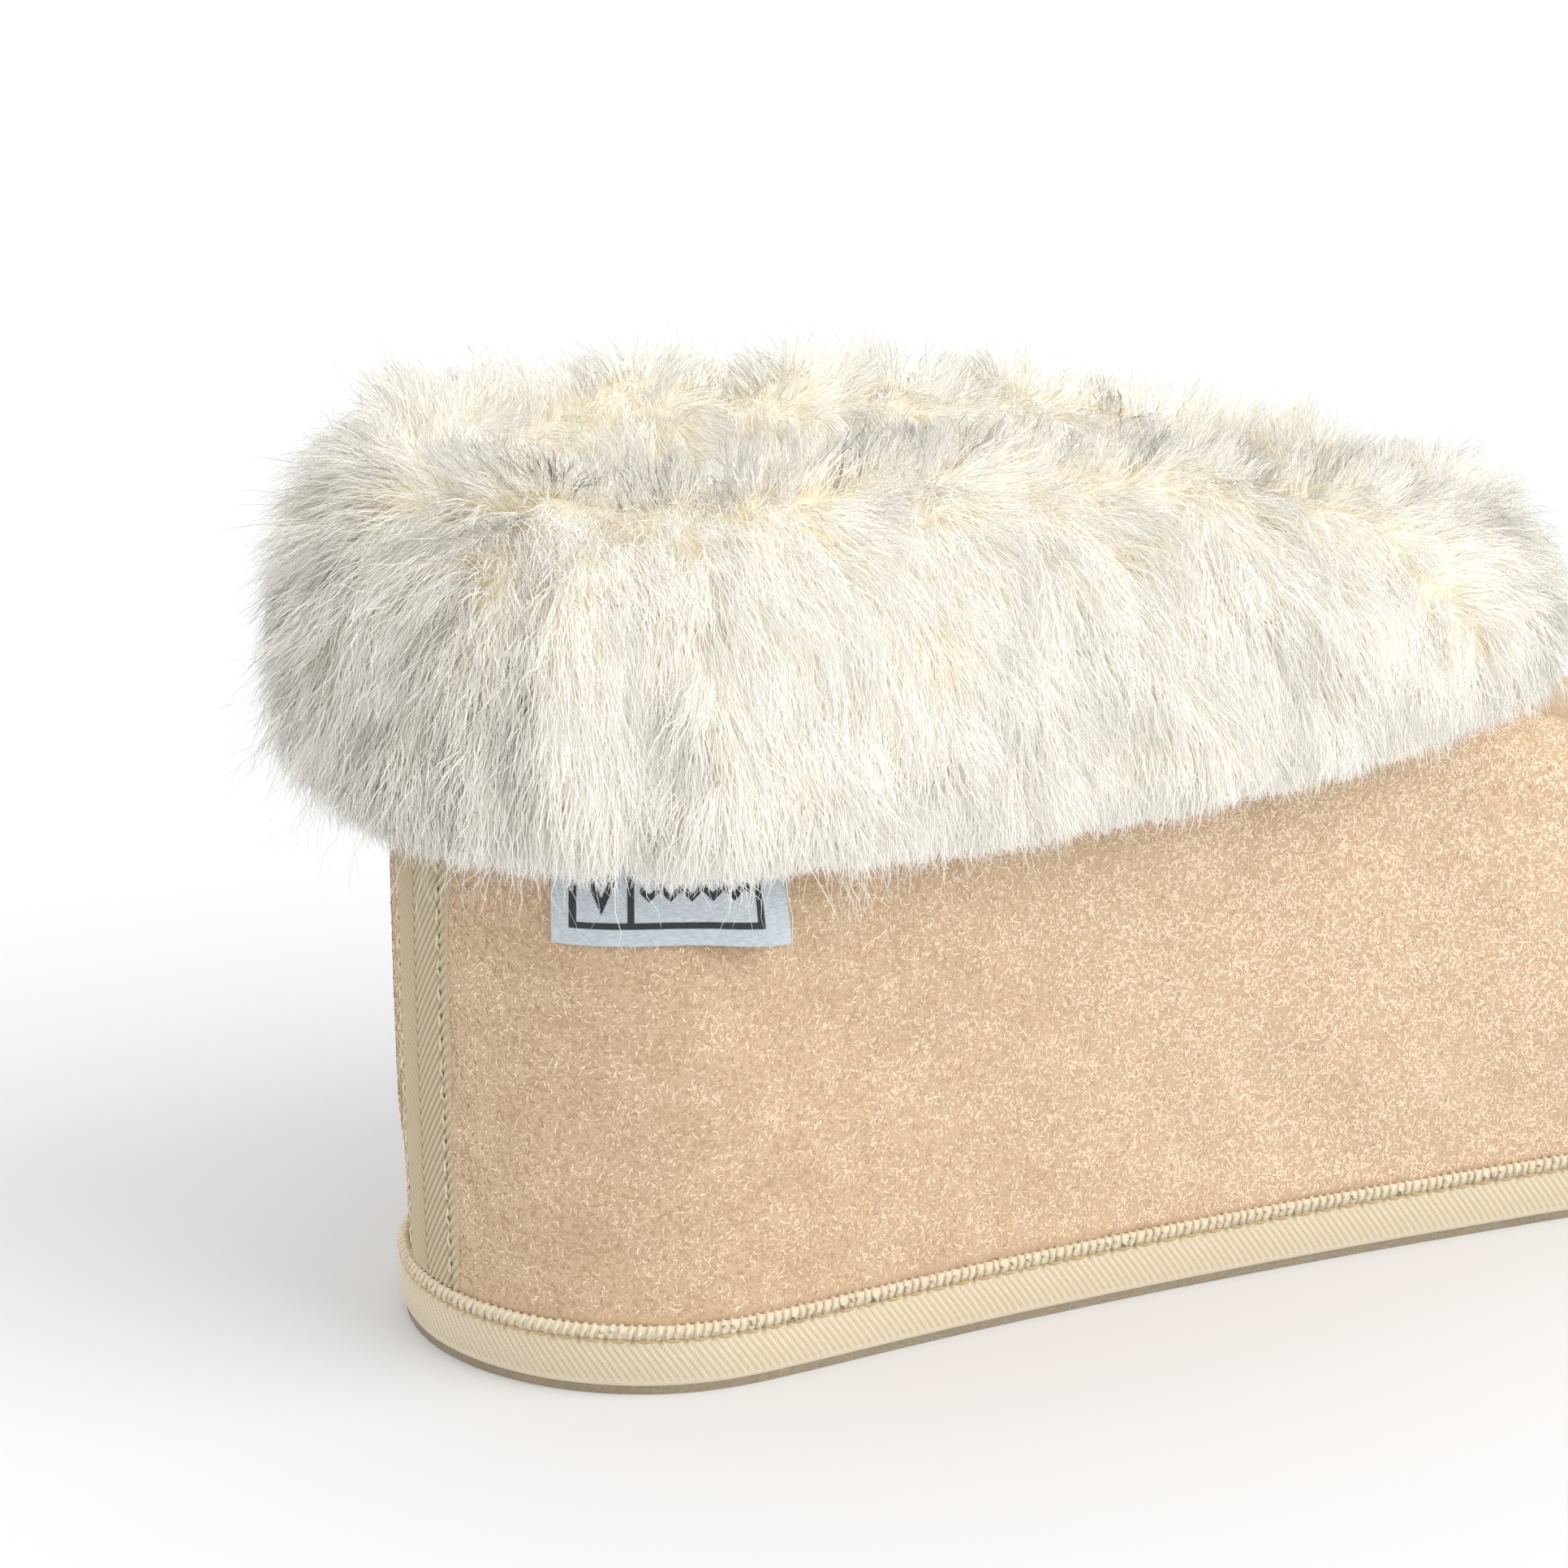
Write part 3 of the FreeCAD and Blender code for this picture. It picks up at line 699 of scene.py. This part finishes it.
def upper():
    """The suede side wall, softly dented and drawn in at the binding."""
    outer_rows = 64
    places = stations(UPPER_SPINE, HEEL_RADIUS, WALL_STATIONS)
    lines = wall_lines("upper_wall", places, outer_rows, 12, 9 * MM)
    wall = soften(ring_points(lines, places), 10)
    normal = slopes(wall)[2]
    v = np.arange(wall.shape[1])[None, :] / (outer_rows - 1)
    free = smooth_step(v, 0.0, 0.12) * (1 - smooth_step(v, 0.9, 1.0))
    dents = field(wall, 34 * MM, 21) * 0.45 * MM + field(wall, 12 * MM, 22) * 0.12 * MM
    pucker = np.exp(-((v - 0.03) / 0.03) ** 2) * field(wall * np.array([1, 1, 0.2]), 5 * MM, 23) * 0.12 * MM
    wall = wall + normal * (np.minimum(dents, 0.5 * MM) * free + pucker)[..., None]
    piece = grid_piece("suede_wall", wall, SUEDE)
    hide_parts("upper_wall")
    suede_nap(Pelt(wall[:, 2:outer_rows - 1], None), int(NAP_FIBRES * DENSITY))


def suede_nap(pelt, count):
    """Short curled fibres that lie over the suede, paler and more even towards the toe: partly the nap's own
    look, partly painted light on the side the key light comes from.
    """
    rng = np.random.default_rng(24)
    u, v = pelt.scatter(count, rng)
    root = pelt.at(pelt.grid, u, v)
    normal = unit(pelt.at(pelt.normal, u, v))
    flat = rng.normal(size=(count, 3)) + UP * -0.4
    flat = unit(flat - (flat * normal).sum(1)[:, None] * normal)
    curl = unit(flat + np.cross(normal, flat) * rng.normal(size=(count, 1)) * 1.2)
    size = rng.uniform(0.5, 1.15, count) * MM
    strand = bent(root - normal * 0.02 * MM, unit(flat + normal * 0.35), unit(curl - normal * 0.15), size, 2)
    pale = 0.45 * field(root, 7 * MM, 81) + rng.normal(size=count)
    # paler nap towards the toe: partly its own look, partly painted light from the key light's side
    pale_toe_and_light = smooth_step(root[:, 0], -120 * MM, -20 * MM)
    level = np.clip(np.round(0.7 + 1.0 * pale_toe_and_light + pale * (0.8 - 0.4 * pale_toe_and_light)), 0, 2).astype(int)
    level = np.repeat(level[:, None], 2, axis=1)
    ribbons("suede_nap", strand, normal, np.zeros_like(strand), 0.2 * MM, rng, level, SUEDE_TONES)


def surface_hit(tree, origin, direction):
    """First point that a level ray meets, as an array."""
    hit = tree.ray_cast(Vector(origin), Vector(direction))[0]
    return None if hit is None else np.array(hit)


def round_outside(tree, place, z, reach=0.09):
    """Point on the outside of a ring at a station and height."""
    origin, direction = place
    start = (*(origin + direction * reach), z)
    return surface_hit(tree, start, (*(-direction), 0.0))


def binding():
    """Woven strip round the sole's edge, its whipped top edge and the stitches that hold it."""
    low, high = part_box("sole_binding")
    tree = node_tree("sole_binding")
    places = stations(UPPER_SPINE, HEEL_RADIUS, RIM_STATIONS)
    middle = (low.z + high.z) / 2
    rim = soften(np.array([round_outside(tree, place, middle) for place in places]), 6)
    steps = np.linalg.norm(np.roll(rim, -1, axis=0) - rim, axis=1)
    along = np.concatenate([[0], np.cumsum(steps)[:-1]])
    total = steps.sum()
    out = unit(np.cross(np.roll(rim, -1, axis=0) - np.roll(rim, 1, axis=0), UP))
    profile = np.array([(-0.95, -0.15), (-0.55, -0.12), (-0.15, 0.0), (0.0, 0.12), (0.04, 0.3), (0.06, 0.5),
                        (0.03, 0.68), (-0.06, 0.8), (-0.34, 0.87), (-0.22, 0.94), (-0.2, 1.06), (-0.5, 1.15),
                        (-1.25, 1.12)])
    profile = resample(profile * np.array([MM, high.z - low.z]) + np.array([0, low.z]), 27)
    grid = rim[:, None] + out[:, None] * profile[None, :, :1]
    grid[..., 2] = profile[None, :, 1]
    height = profile[:, 1][None, :]
    turn = along[:, None] / total * round(total / BINDING_RIB)
    rib = np.cos(2 * math.pi * (turn + (height - low.z) / (1.5 * MM)))
    cross = np.cos(2 * math.pi * (2 * turn - (height - low.z) / (0.9 * MM)))
    face = smooth_step(height, low.z - 0.4 * MM, low.z + 0.6 * MM)
    face = face * (1 - smooth_step(height, high.z - 1.5 * MM, high.z - 1.1 * MM))
    stitches = round(total / BINDING_STITCH)
    hole = np.exp(-((np.mod(along / total * stitches, 1) - 0.5) / 0.11) ** 2)[:, None]
    line = np.exp(-((height - (high.z - 0.85 * MM)) / (0.45 * MM)) ** 2)
    relief = (0.075 * rib + 0.03 * cross) * face * MM - 0.3 * MM * hole * line
    grid = grid + out[:, None] * relief[..., None]
    # tone is painted shade: darker in the rib hollows, in the stitch holes and along the stitch line
    tone = np.clip((0.26 - 0.30 * rib - 0.14 * cross) * face, 0, 1) + 0.95 * hole * line + 0.28 * line
    piece = grid_piece("sole_binding_twill", grid, TWILL, tone=np.clip(tone, 0, 1))
    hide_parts("sole_binding")

    def along_rim(distance):
        """Place on the rim and its outward direction at a distance along it."""
        d = np.mod(distance, total)
        at = np.stack([np.interp(d, along, rim[:, k], period=total) for k in range(3)], axis=-1)
        face_out = np.stack([np.interp(d, along, out[:, k], period=total) for k in range(3)], axis=-1)
        return at, unit(face_out)

    rng = np.random.default_rng(31)
    loops = round(total / WHIPPING_PITCH)
    start = (np.arange(loops) + rng.uniform(-0.08, 0.08, loops)) / loops * total
    shape = np.array([(-0.42, -0.75, 0.0), (-0.05, -0.35, 0.05), (0.02, 0.1, 0.12), (-0.1, 0.5, 0.2),
                      (-0.45, 0.82, 0.26), (-0.95, 0.86, 0.3), (-1.3, 0.6, 0.3)]) * MM
    paths = []
    for lift, rise, shift in shape:
        at, face_out = along_rim(start + shift + rng.normal(size=loops) * 0.05 * MM)
        point = at + face_out * (lift + rng.normal(size=(loops, 1)) * 0.04 * MM)
        point[:, 2] = high.z + rise + rng.normal(size=loops) * 0.06 * MM
        paths.append(point)
    piece = tubes("binding_whipping", np.stack(paths, axis=1), 0.4 * MM, LOOP_THREAD, flatten=0.8)
    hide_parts("binding_thread")

    start = (np.arange(stitches) + 0.62) / stitches * total
    paths = []
    for share in np.linspace(0, 1, 6):
        at, face_out = along_rim(start + share * 2.7 * MM)
        point = at + face_out * (-0.42 + 0.32 * math.sin(math.pi * share)) * MM
        point[:, 2] = high.z - 0.85 * MM
        paths.append(point)
    piece = tubes("binding_lockstitch", np.stack(paths, axis=1), 0.24 * MM, GOLD_THREAD)


def heel_tape():
    """Herringbone tape over the heel seam, sewn down near both edges."""
    low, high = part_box("heel_seam_tape")
    tree = node_tree("heel_seam_tape")
    coarse_y, coarse_z = 31, 60
    ys = np.linspace(low.y + 0.02 * MM, high.y - 0.02 * MM, coarse_y)
    zs = np.linspace(low.z + 0.02 * MM, high.z - 0.02 * MM, coarse_z)
    x = np.array([[surface_hit(tree, (low.x - 0.02, y, z), (1, 0, 0))[0] for y in ys] for z in zs])
    columns, rows = 101, 400
    fine_y = np.linspace(ys[0], ys[-1], columns)
    fine_z = np.linspace(zs[0], zs[-1], rows)
    x = np.stack([np.interp(fine_y, ys, row) for row in x])
    x = np.stack([np.interp(fine_z, zs, column) for column in x.T], axis=1)
    z, y = np.meshgrid(fine_z, fine_y, indexing="ij")
    grid = np.stack([x, y, z], axis=-1)
    normal = slopes(grid, closed=False)[2]
    normal = normal * np.sign(-normal[..., :1])
    half = (ys[-1] - ys[0]) / 2
    ribs = np.cos(2 * math.pi * (z - 1.45 * np.abs(y)) / TAPE_RIB)
    yarns = np.cos(2 * math.pi * (z + 0.8 * np.abs(y)) / (0.62 * MM))
    edge = smooth_step(np.abs(y), half - 0.7 * MM, half - 0.1 * MM)
    seam = np.exp(-((np.abs(y) - (half - TAPE_STITCH_INSET)) / (0.35 * MM)) ** 2)
    spine = np.exp(-(y / (0.3 * MM)) ** 2)
    relief = (0.11 * ribs + 0.035 * yarns - 0.12 * spine) * (1 - edge) - 0.16 * seam - 0.75 * edge**2
    grid = grid + normal * ((relief - 0.5) * MM)[..., None]
    # tone is painted shade: darker in the rib hollows, along the stitch lines and in the middle groove
    tone = np.clip(0.30 - 0.34 * ribs - 0.12 * yarns, 0, 1) * (1 - edge) + 0.35 * seam + 0.25 * spine
    tone = np.clip(tone, 0, 1)[:, ::-1]
    piece = grid_piece("heel_tape_weave", grid[:, ::-1], HERRINGBONE, closed=False, tone=tone)
    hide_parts("heel_seam_tape")

    count = int((high.z - low.z - 4 * MM) / TAPE_STITCH)
    paths = []
    for side in (-1, 1):
        y_line = side * (half - TAPE_STITCH_INSET)
        for i in range(count):
            z0 = low.z + 2 * MM + i * TAPE_STITCH
            line = []
            for share in np.linspace(0, 1, 6):
                z_here = z0 + share * 2.6 * MM
                j = min(int(round((z_here - zs[0]) / (zs[-1] - zs[0]) * (rows - 1))), rows - 1)
                k = int(round((y_line + half) / (2 * half) * (columns - 1)))
                line.append(grid[j, k] + normal[j, k] * (0.26 * math.sin(math.pi * share) - 0.02) * MM)
            paths.append(line)
    piece = tubes("heel_tape_thread", np.array(paths), 0.22 * MM, LOOP_THREAD)
    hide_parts("heel_tape_stitches")


def label_ink(s, t):
    """1 where the label is woven dark: a frame, a divider, a lozenge and a row of plain chevrons.

    s and t are millimetres from the label's left edge and lower edge."""
    ink = np.zeros(s.shape, bool)
    left, divider, right, bottom, line = 2.8, 9.9, 25.6, 2.6, 0.9
    inside = (s > left - line / 2) & (s < right + line / 2) & (t > bottom - line / 2)
    for edge in (left, divider, right):
        ink |= inside & (np.abs(s - edge) < line / 2)
    ink |= inside & (np.abs(t - bottom) < line / 2)
    middle = (left + divider) / 2
    lozenge = np.abs(s - middle) / 1.9 + np.abs(t - 8.6) / 4.6
    ink |= (lozenge < 1) & (lozenge > 0.52)
    ink |= lozenge < 0.25
    phase = np.abs(np.mod(s - divider - 1.0, 2.6) - 1.3)
    band = (s > divider + 1.1) & (s < right - 1.1)
    ink |= band & (np.abs(t - 6.2 - phase) < 0.55)
    return ink


def label():
    """Woven side label: sewn along its top, its loose lower corner standing off the suede."""
    low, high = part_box("label_flap")
    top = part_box("label_margin")[1].z
    places = []
    columns, rows = 236, 160
    first_angle = math.pi + math.acos(min((HEEL_CENTRE - low.x) / HEEL_RADIUS, 1.0))
    arc = (1.5 * math.pi - first_angle) * HEEL_RADIUS
    width = arc + high.x - HEEL_CENTRE
    for s in np.linspace(0, width, columns):
        if s < arc:
            angle = first_angle + s / HEEL_RADIUS
            places.append((np.array([HEEL_CENTRE, 0.0]), np.array([math.cos(angle), math.sin(angle)])))
        else:
            places.append((np.array([HEEL_CENTRE + s - arc, 0.0]), np.array([0.0, -1.0])))
    zs = np.linspace(low.z, top, rows)
    coarse = zs[::8]
    hits = np.array([[round_outside(WALL_TREE, place, z) for z in coarse] for place in places])
    grid = np.stack([[np.interp(zs, coarse, column[:, k]) for column in hits] for k in range(3)], axis=-1)
    grid[..., 2] = zs[None, :]
    for _ in range(3):
        grid[1:-1] = 0.5 * grid[1:-1] + 0.25 * (grid[2:] + grid[:-2])
    out = np.array([(*direction, 0.0) for _, direction in places])[:, None]
    s = np.linspace(0, 1, columns)[:, None]
    t = ((zs - low.z) / (high.z - low.z))[None, :]
    free = 1 - smooth_step(t, 0.0, 1.0)
    curl = 2.3 * smooth_step(s, 0.62, 1.0) * free**1.6 + 0.35 * free + 0.2 * np.sin(s * 9 + t * 2) * free
    weft = np.cos(2 * math.pi * (zs[None, :] - low.z) / (0.5 * MM))
    across = weft * np.cos(2 * math.pi * s * width / (0.9 * MM))
    lift = (0.45 + curl + 0.025 * across) * MM
    grid = grid + out * lift[..., None]
    sag = 0.7 * MM * smooth_step(s, 0.45, 1.0) * free
    grid[..., 2] -= sag
    left_mm = s * width / MM
    ink = label_ink(left_mm + 0 * t, (zs[None, :] - low.z) / MM + 0 * s)
    material, tree, shader = nodes_of("label_satin")
    dark = add(tree, "ShaderNodeAttribute", attribute_name="tone").outputs["Fac"]
    threads = noise(tree, 0.28 * MM, 2.0, (0.35, 0.35, 1.6))
    blues = ((0.3, (0.42, 0.47, 0.51)), (0.55, (0.53, 0.59, 0.63)), (0.8, (0.64, 0.70, 0.73)))
    pale = ramp(tree, threads, blues)
    tree.links.new(mix(tree, dark, pale, (0.012, 0.02, 0.026)), shader.inputs["Base Color"])
    bump(tree, shader, threads, 0.08 * MM, 0.6)
    shade(shader, 0.5, 0.1, WHITE, 0.45)
    piece = grid_piece("side_label", grid, material, closed=False, body=None, tone=ink.astype(float))
    thick = piece.modifiers.new("thickness", "SOLIDIFY")
    thick.thickness = 0.22 * MM
    thick.offset = -1
    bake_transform(piece)
    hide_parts("label_margin", "label_flap")


# ---------------------------------------------------------------- apron

def apron():
    """The suede top piece over the forefoot, gathered a little towards its seam, with its wool lining."""
    for node, name, material, slot, strength in (("apron", "suede_apron", SUEDE, "suede", 1.0),
                                                 ("apron_wool", "apron_under_wool", UNDER_WOOL, "wool", 0.0)):
        low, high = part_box(node)
        tree = node_tree(node)
        columns, rows = 150, 90
        xs = low.x + (high.x - low.x) * (0.5 - 0.5 * np.cos(np.linspace(0.03, math.pi - 0.03, columns)))
        top, under = [], []
        for x in xs:
            level = low.z + 0.5 * (high.z - low.z)
            probes = np.linspace(low.y - MM, high.y + MM, 240)
            hits = [(y, tree.ray_cast(Vector((x, y, high.z + 0.01)), Vector((0, 0, -1)))[0]) for y in probes]
            found = [y for y, hit in hits if hit is not None]
            y0, y1 = found[0], found[-1]
            upper_line, lower_line = [], []
            for a in np.linspace(0, math.pi, rows):
                y = (y0 + y1) / 2 - (y1 - y0) / 2 * math.cos(a)
                upper_hit = tree.ray_cast(Vector((x, y, high.z + 0.01)), Vector((0, 0, -1)))[0]
                lower_hit = tree.ray_cast(Vector((x, y, low.z - 0.01)), Vector((0, 0, 1)))[0]
                upper_line.append((x, y, upper_hit.z if upper_hit else level))
                lower_line.append((x, y, lower_hit.z if lower_hit else level))
            top.append(upper_line)
            under.append(lower_line)
        top = np.array(top)
        under = np.array(under)
        across = np.abs(np.linspace(-1, 1, rows))[None, :]
        gathers = smooth_step(across, 0.55, 0.95) * smooth_step(top[..., 0], low.x, high.x) ** 0.5
        folds = field(top * np.array([1, 0.15, 0.2]), 7 * MM, 51) * 0.35 * gathers
        folds = folds + field(top, 26 * MM, 52) * 0.3
        top[..., 2] += folds * MM * strength
        grid = np.concatenate([top, under[:, ::-1]], axis=1)
        piece = grid_piece(name, grid, material, closed=False, closed_columns=True)
        caps = []
        for row in (0, columns - 1):
            for j in range(rows - 1):
                near = row * 2 * rows + j
                far = (row + 1) * 2 * rows - 1 - j
                quad = [near, near + 1, far - 1, far]
                caps.append(quad if row == 0 else quad[::-1])
        add_faces(piece, caps)
        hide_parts(node)


def add_faces(piece, quads):
    """Adds quads between existing points of a piece."""
    work = bmesh.new()
    work.from_mesh(piece.data)
    work.verts.ensure_lookup_table()
    for quad in quads:
        corners = [work.verts[i] for i in quad]
        if len(set(corners)) == 4 and not work.faces.get(corners):
            work.faces.new(corners).smooth = True
    bmesh.ops.recalc_face_normals(work, faces=work.faces)
    work.to_mesh(piece.data)
    work.free()


def apron_seam():
    """Thick hand-sewn thread over the apron's seam, on the CAD bars' places, and the fold of suede in it."""
    points, triangles = node_mesh("apron_stitches")
    parent = np.arange(len(points))
    for _ in range(12):
        for k in range(3):
            a, b = triangles[:, k], triangles[:, (k + 1) % 3]
            lowest = np.minimum(parent[a], parent[b])
            np.minimum.at(parent, a, lowest)
            np.minimum.at(parent, b, lowest)
    paths = []
    centres = []
    for root in np.unique(parent):
        bar = points[parent == root]
        centre = bar.mean(0)
        centres.append(centre)
        flat = bar[:, :2] - centre[:2]
        angle = np.linalg.svd(flat - flat.mean(0), full_matrices=False)[2][0]
        half = np.abs(flat @ angle).max()
        line = []
        for share in np.linspace(-1, 1, 9):
            place = centre[:2] + angle * half * share
            hop = centre[2] - (0.4 + 1.9 * share**2 * abs(share)) * MM
            line.append((*place, hop))
        paths.append(line)
    piece = tubes("apron_seam_thread", np.array(paths), 0.62 * MM, LOOP_THREAD, sides=8)
    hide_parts("apron_stitches")

    centres = np.array(centres)
    turn = np.arctan2(centres[:, 1], centres[:, 0] - centres[:, 0].min() - 10 * MM)
    seam = resample(centres[np.argsort(turn)], 160) - np.array([0, 0, 2.1 * MM])
    fold = tubes("apron_seam_fold", seam[None], 1.5 * MM, SUEDE, sides=10)


# ---------------------------------------------------------------- inside

def in_view(grid):
    """Share of the wool to grow: all of it under the mouth and a quarter of it in the toe."""
    return 0.25 + 0.75 * (1 - smooth_step(grid[..., 0], COLLAR_SPINE[1], COLLAR_SPINE[1] + 50 * MM))


def lining():
    """The wool that lines the wall."""
    places = stations(UPPER_SPINE, HEEL_RADIUS, LINING_STATIONS)
    mesh = node_mesh("wall_wool")
    lines = []
    for place in places:
        loop = section(mesh, place)
        tall = np.abs(loop[:, 1] - loop[:, 1].mean())
        peak = int(np.argmax(loop[:, 1] - 0.2 * loop[:, 0]))
        first = int(np.argmin(loop[:, 0] + 6 * loop[:, 1]))
        line = stretch(loop, peak, first, int(np.argmin(tall + 2 * loop[:, 0])))
        lines.append(resample(line, 40))
    inner = soften(ring_points(lines, places), 2)
    _, along, normal = slopes(inner)
    core = inner - normal * (3.2 - field(inner, 14 * MM, 61) * 0.7)[..., None] * MM
    piece = grid_piece("lining_under_wool", core, UNDER_WOOL)
    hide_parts("wall_wool")
    shape = core.shape[:2]
    pelt = Pelt(core, along)
    wool("lining_wool", pelt, int(LINING_STRANDS * DENSITY), 3.2 * MM, np.full(shape, 6.5 * MM),
         np.full(shape, 0.6), np.full(shape, 0.2), np.random.default_rng(62), width=0.24 * MM, steps=4,
         density=in_view(core), tones=(1, 2, 3, 4))


def footbed():
    """The loose footbed's wool, crowned and pulled in at its edge."""
    low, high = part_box("footbed_wool")
    places = stations(UPPER_SPINE, HEEL_RADIUS, FOOTBED_STATIONS)
    tree = node_tree("footbed_wool")
    middle = (low.z + high.z) / 2
    rim = np.array([round_outside(tree, place, middle) for place in places])
    centre = np.array([(*origin, 0.0) for origin, _ in places])
    thick = high.z - low.z
    grid = []
    for a in np.concatenate([np.linspace(0, 1, 9)[:-1], np.linspace(1, 2, 22)]):
        if a < 1:
            share = 1 - 0.03 * math.sin(math.pi * a)
            height = low.z + 0.55 * thick * a
        else:
            inward = a - 1
            share = 1 - inward * 0.98
            height = low.z + thick * (0.55 + 0.2 * (1 - (1 - min(inward * 5, 1)) ** 2))
        point = centre + (rim - centre) * share
        point[:, 2] = height
        grid.append(point)
    grid = np.stack(grid, axis=1)
    grid[..., 2] += field(grid, 18 * MM, 65) * 0.35 * MM * smooth_step(np.arange(30), 6, 14)[None, :]
    piece = grid_piece("footbed_under_wool", grid, UNDER_WOOL, body="footbed")
    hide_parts("footbed_wool")
    top = grid[:, 7:]
    pelt = Pelt(top, np.broadcast_to(np.array([1.0, 0, 0]), top.shape))
    shape = top.shape[:2]
    wool("footbed_wool", pelt, int(FOOTBED_STRANDS * DENSITY), 3.0 * MM, np.full(shape, 5.0 * MM),
         np.full(shape, 0.55), np.full(shape, 0.0), np.random.default_rng(66), width=0.24 * MM, steps=4,
         body="footbed", density=in_view(top), tones=(1, 2, 3, 4))


def cad_materials():
    """Materials for the CAD nodes that stay."""
    for node, material in (("outsole", RUBBER), ("midsole", FOAM), ("sock_board", BOARD),
                           ("topline_thread", LOOP_THREAD), ("label_stitches", LOOP_THREAD),
                           ("footbed_base", FELT)):
        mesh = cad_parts[node].data
        mesh.materials.clear()
        mesh.materials.append(material)


# ---------------------------------------------------------------- stage, lights and camera

def stage():
    """Plain pale floor."""
    half = 6.0
    material, tree, shader = nodes_of("floor")
    cloud = noise(tree, 0.9, 2.0)
    tree.links.new(ramp(tree, cloud, ((0.3, (0.725, 0.73, 0.74)), (0.7, (0.74, 0.745, 0.755)))),
                   shader.inputs["Base Color"])
    shade(shader, 0.75, 0.0, WHITE, 0.2)
    steps = 13
    line = np.linspace(-half, half, steps)
    x, y = np.meshgrid(line, line, indexing="ij")
    grid = np.stack([x, y, np.full_like(x, -0.02 * MM)], axis=-1)
    floor = make_mesh("floor", grid.reshape(-1, 3), grid_quads(steps, steps, False), [material], body=None)


def lights():
    """Even white surroundings and a large soft key light from the front right and above."""
    world = bpy.data.worlds.new("surroundings")
    bpy.context.scene.world = world
    world.use_nodes = True
    back = world.node_tree.nodes["Background"]
    back.inputs["Color"].default_value = (0.985, 0.985, 0.99, 1)
    back.inputs["Strength"].default_value = 1.16
    key = bpy.data.lights.new("key", "SUN")
    key.energy = 1.5
    key.angle = math.radians(50)
    key.color = (1, 0.985, 0.96)
    lamp = bpy.data.objects.new("key", key)
    lamp.rotation_euler = Vector((0.75, -0.9, 0.9)).to_track_quat("Z", "Y").to_euler()
    bpy.context.scene.collection.objects.link(lamp)


def camera():
    """Camera at the photograph's viewing angle."""
    azimuth, elevation = math.radians(-29), math.radians(17.5)
    distance, target = 0.6, Vector((-0.0946, -0.033, 0.080))
    back = Vector((math.sin(azimuth) * math.cos(elevation), -math.cos(azimuth) * math.cos(elevation),
                   math.sin(elevation)))
    data = bpy.data.cameras.new("camera")
    data.sensor_width = 36
    data.lens = 111.8
    data.clip_start = 0.01
    data.clip_end = 50
    eye = bpy.data.objects.new("camera", data)
    eye.location = target + back * distance
    eye.rotation_euler = back.to_track_quat("Z", "Y").to_euler()
    bpy.context.scene.collection.objects.link(eye)
    bpy.context.scene.camera = eye
    bpy.context.scene.view_settings.view_transform = "Standard"


collar()
upper()
binding()
heel_tape()
label()
apron()
apron_seam()
lining()
footbed()
cad_materials()
stage()
lights()
camera()
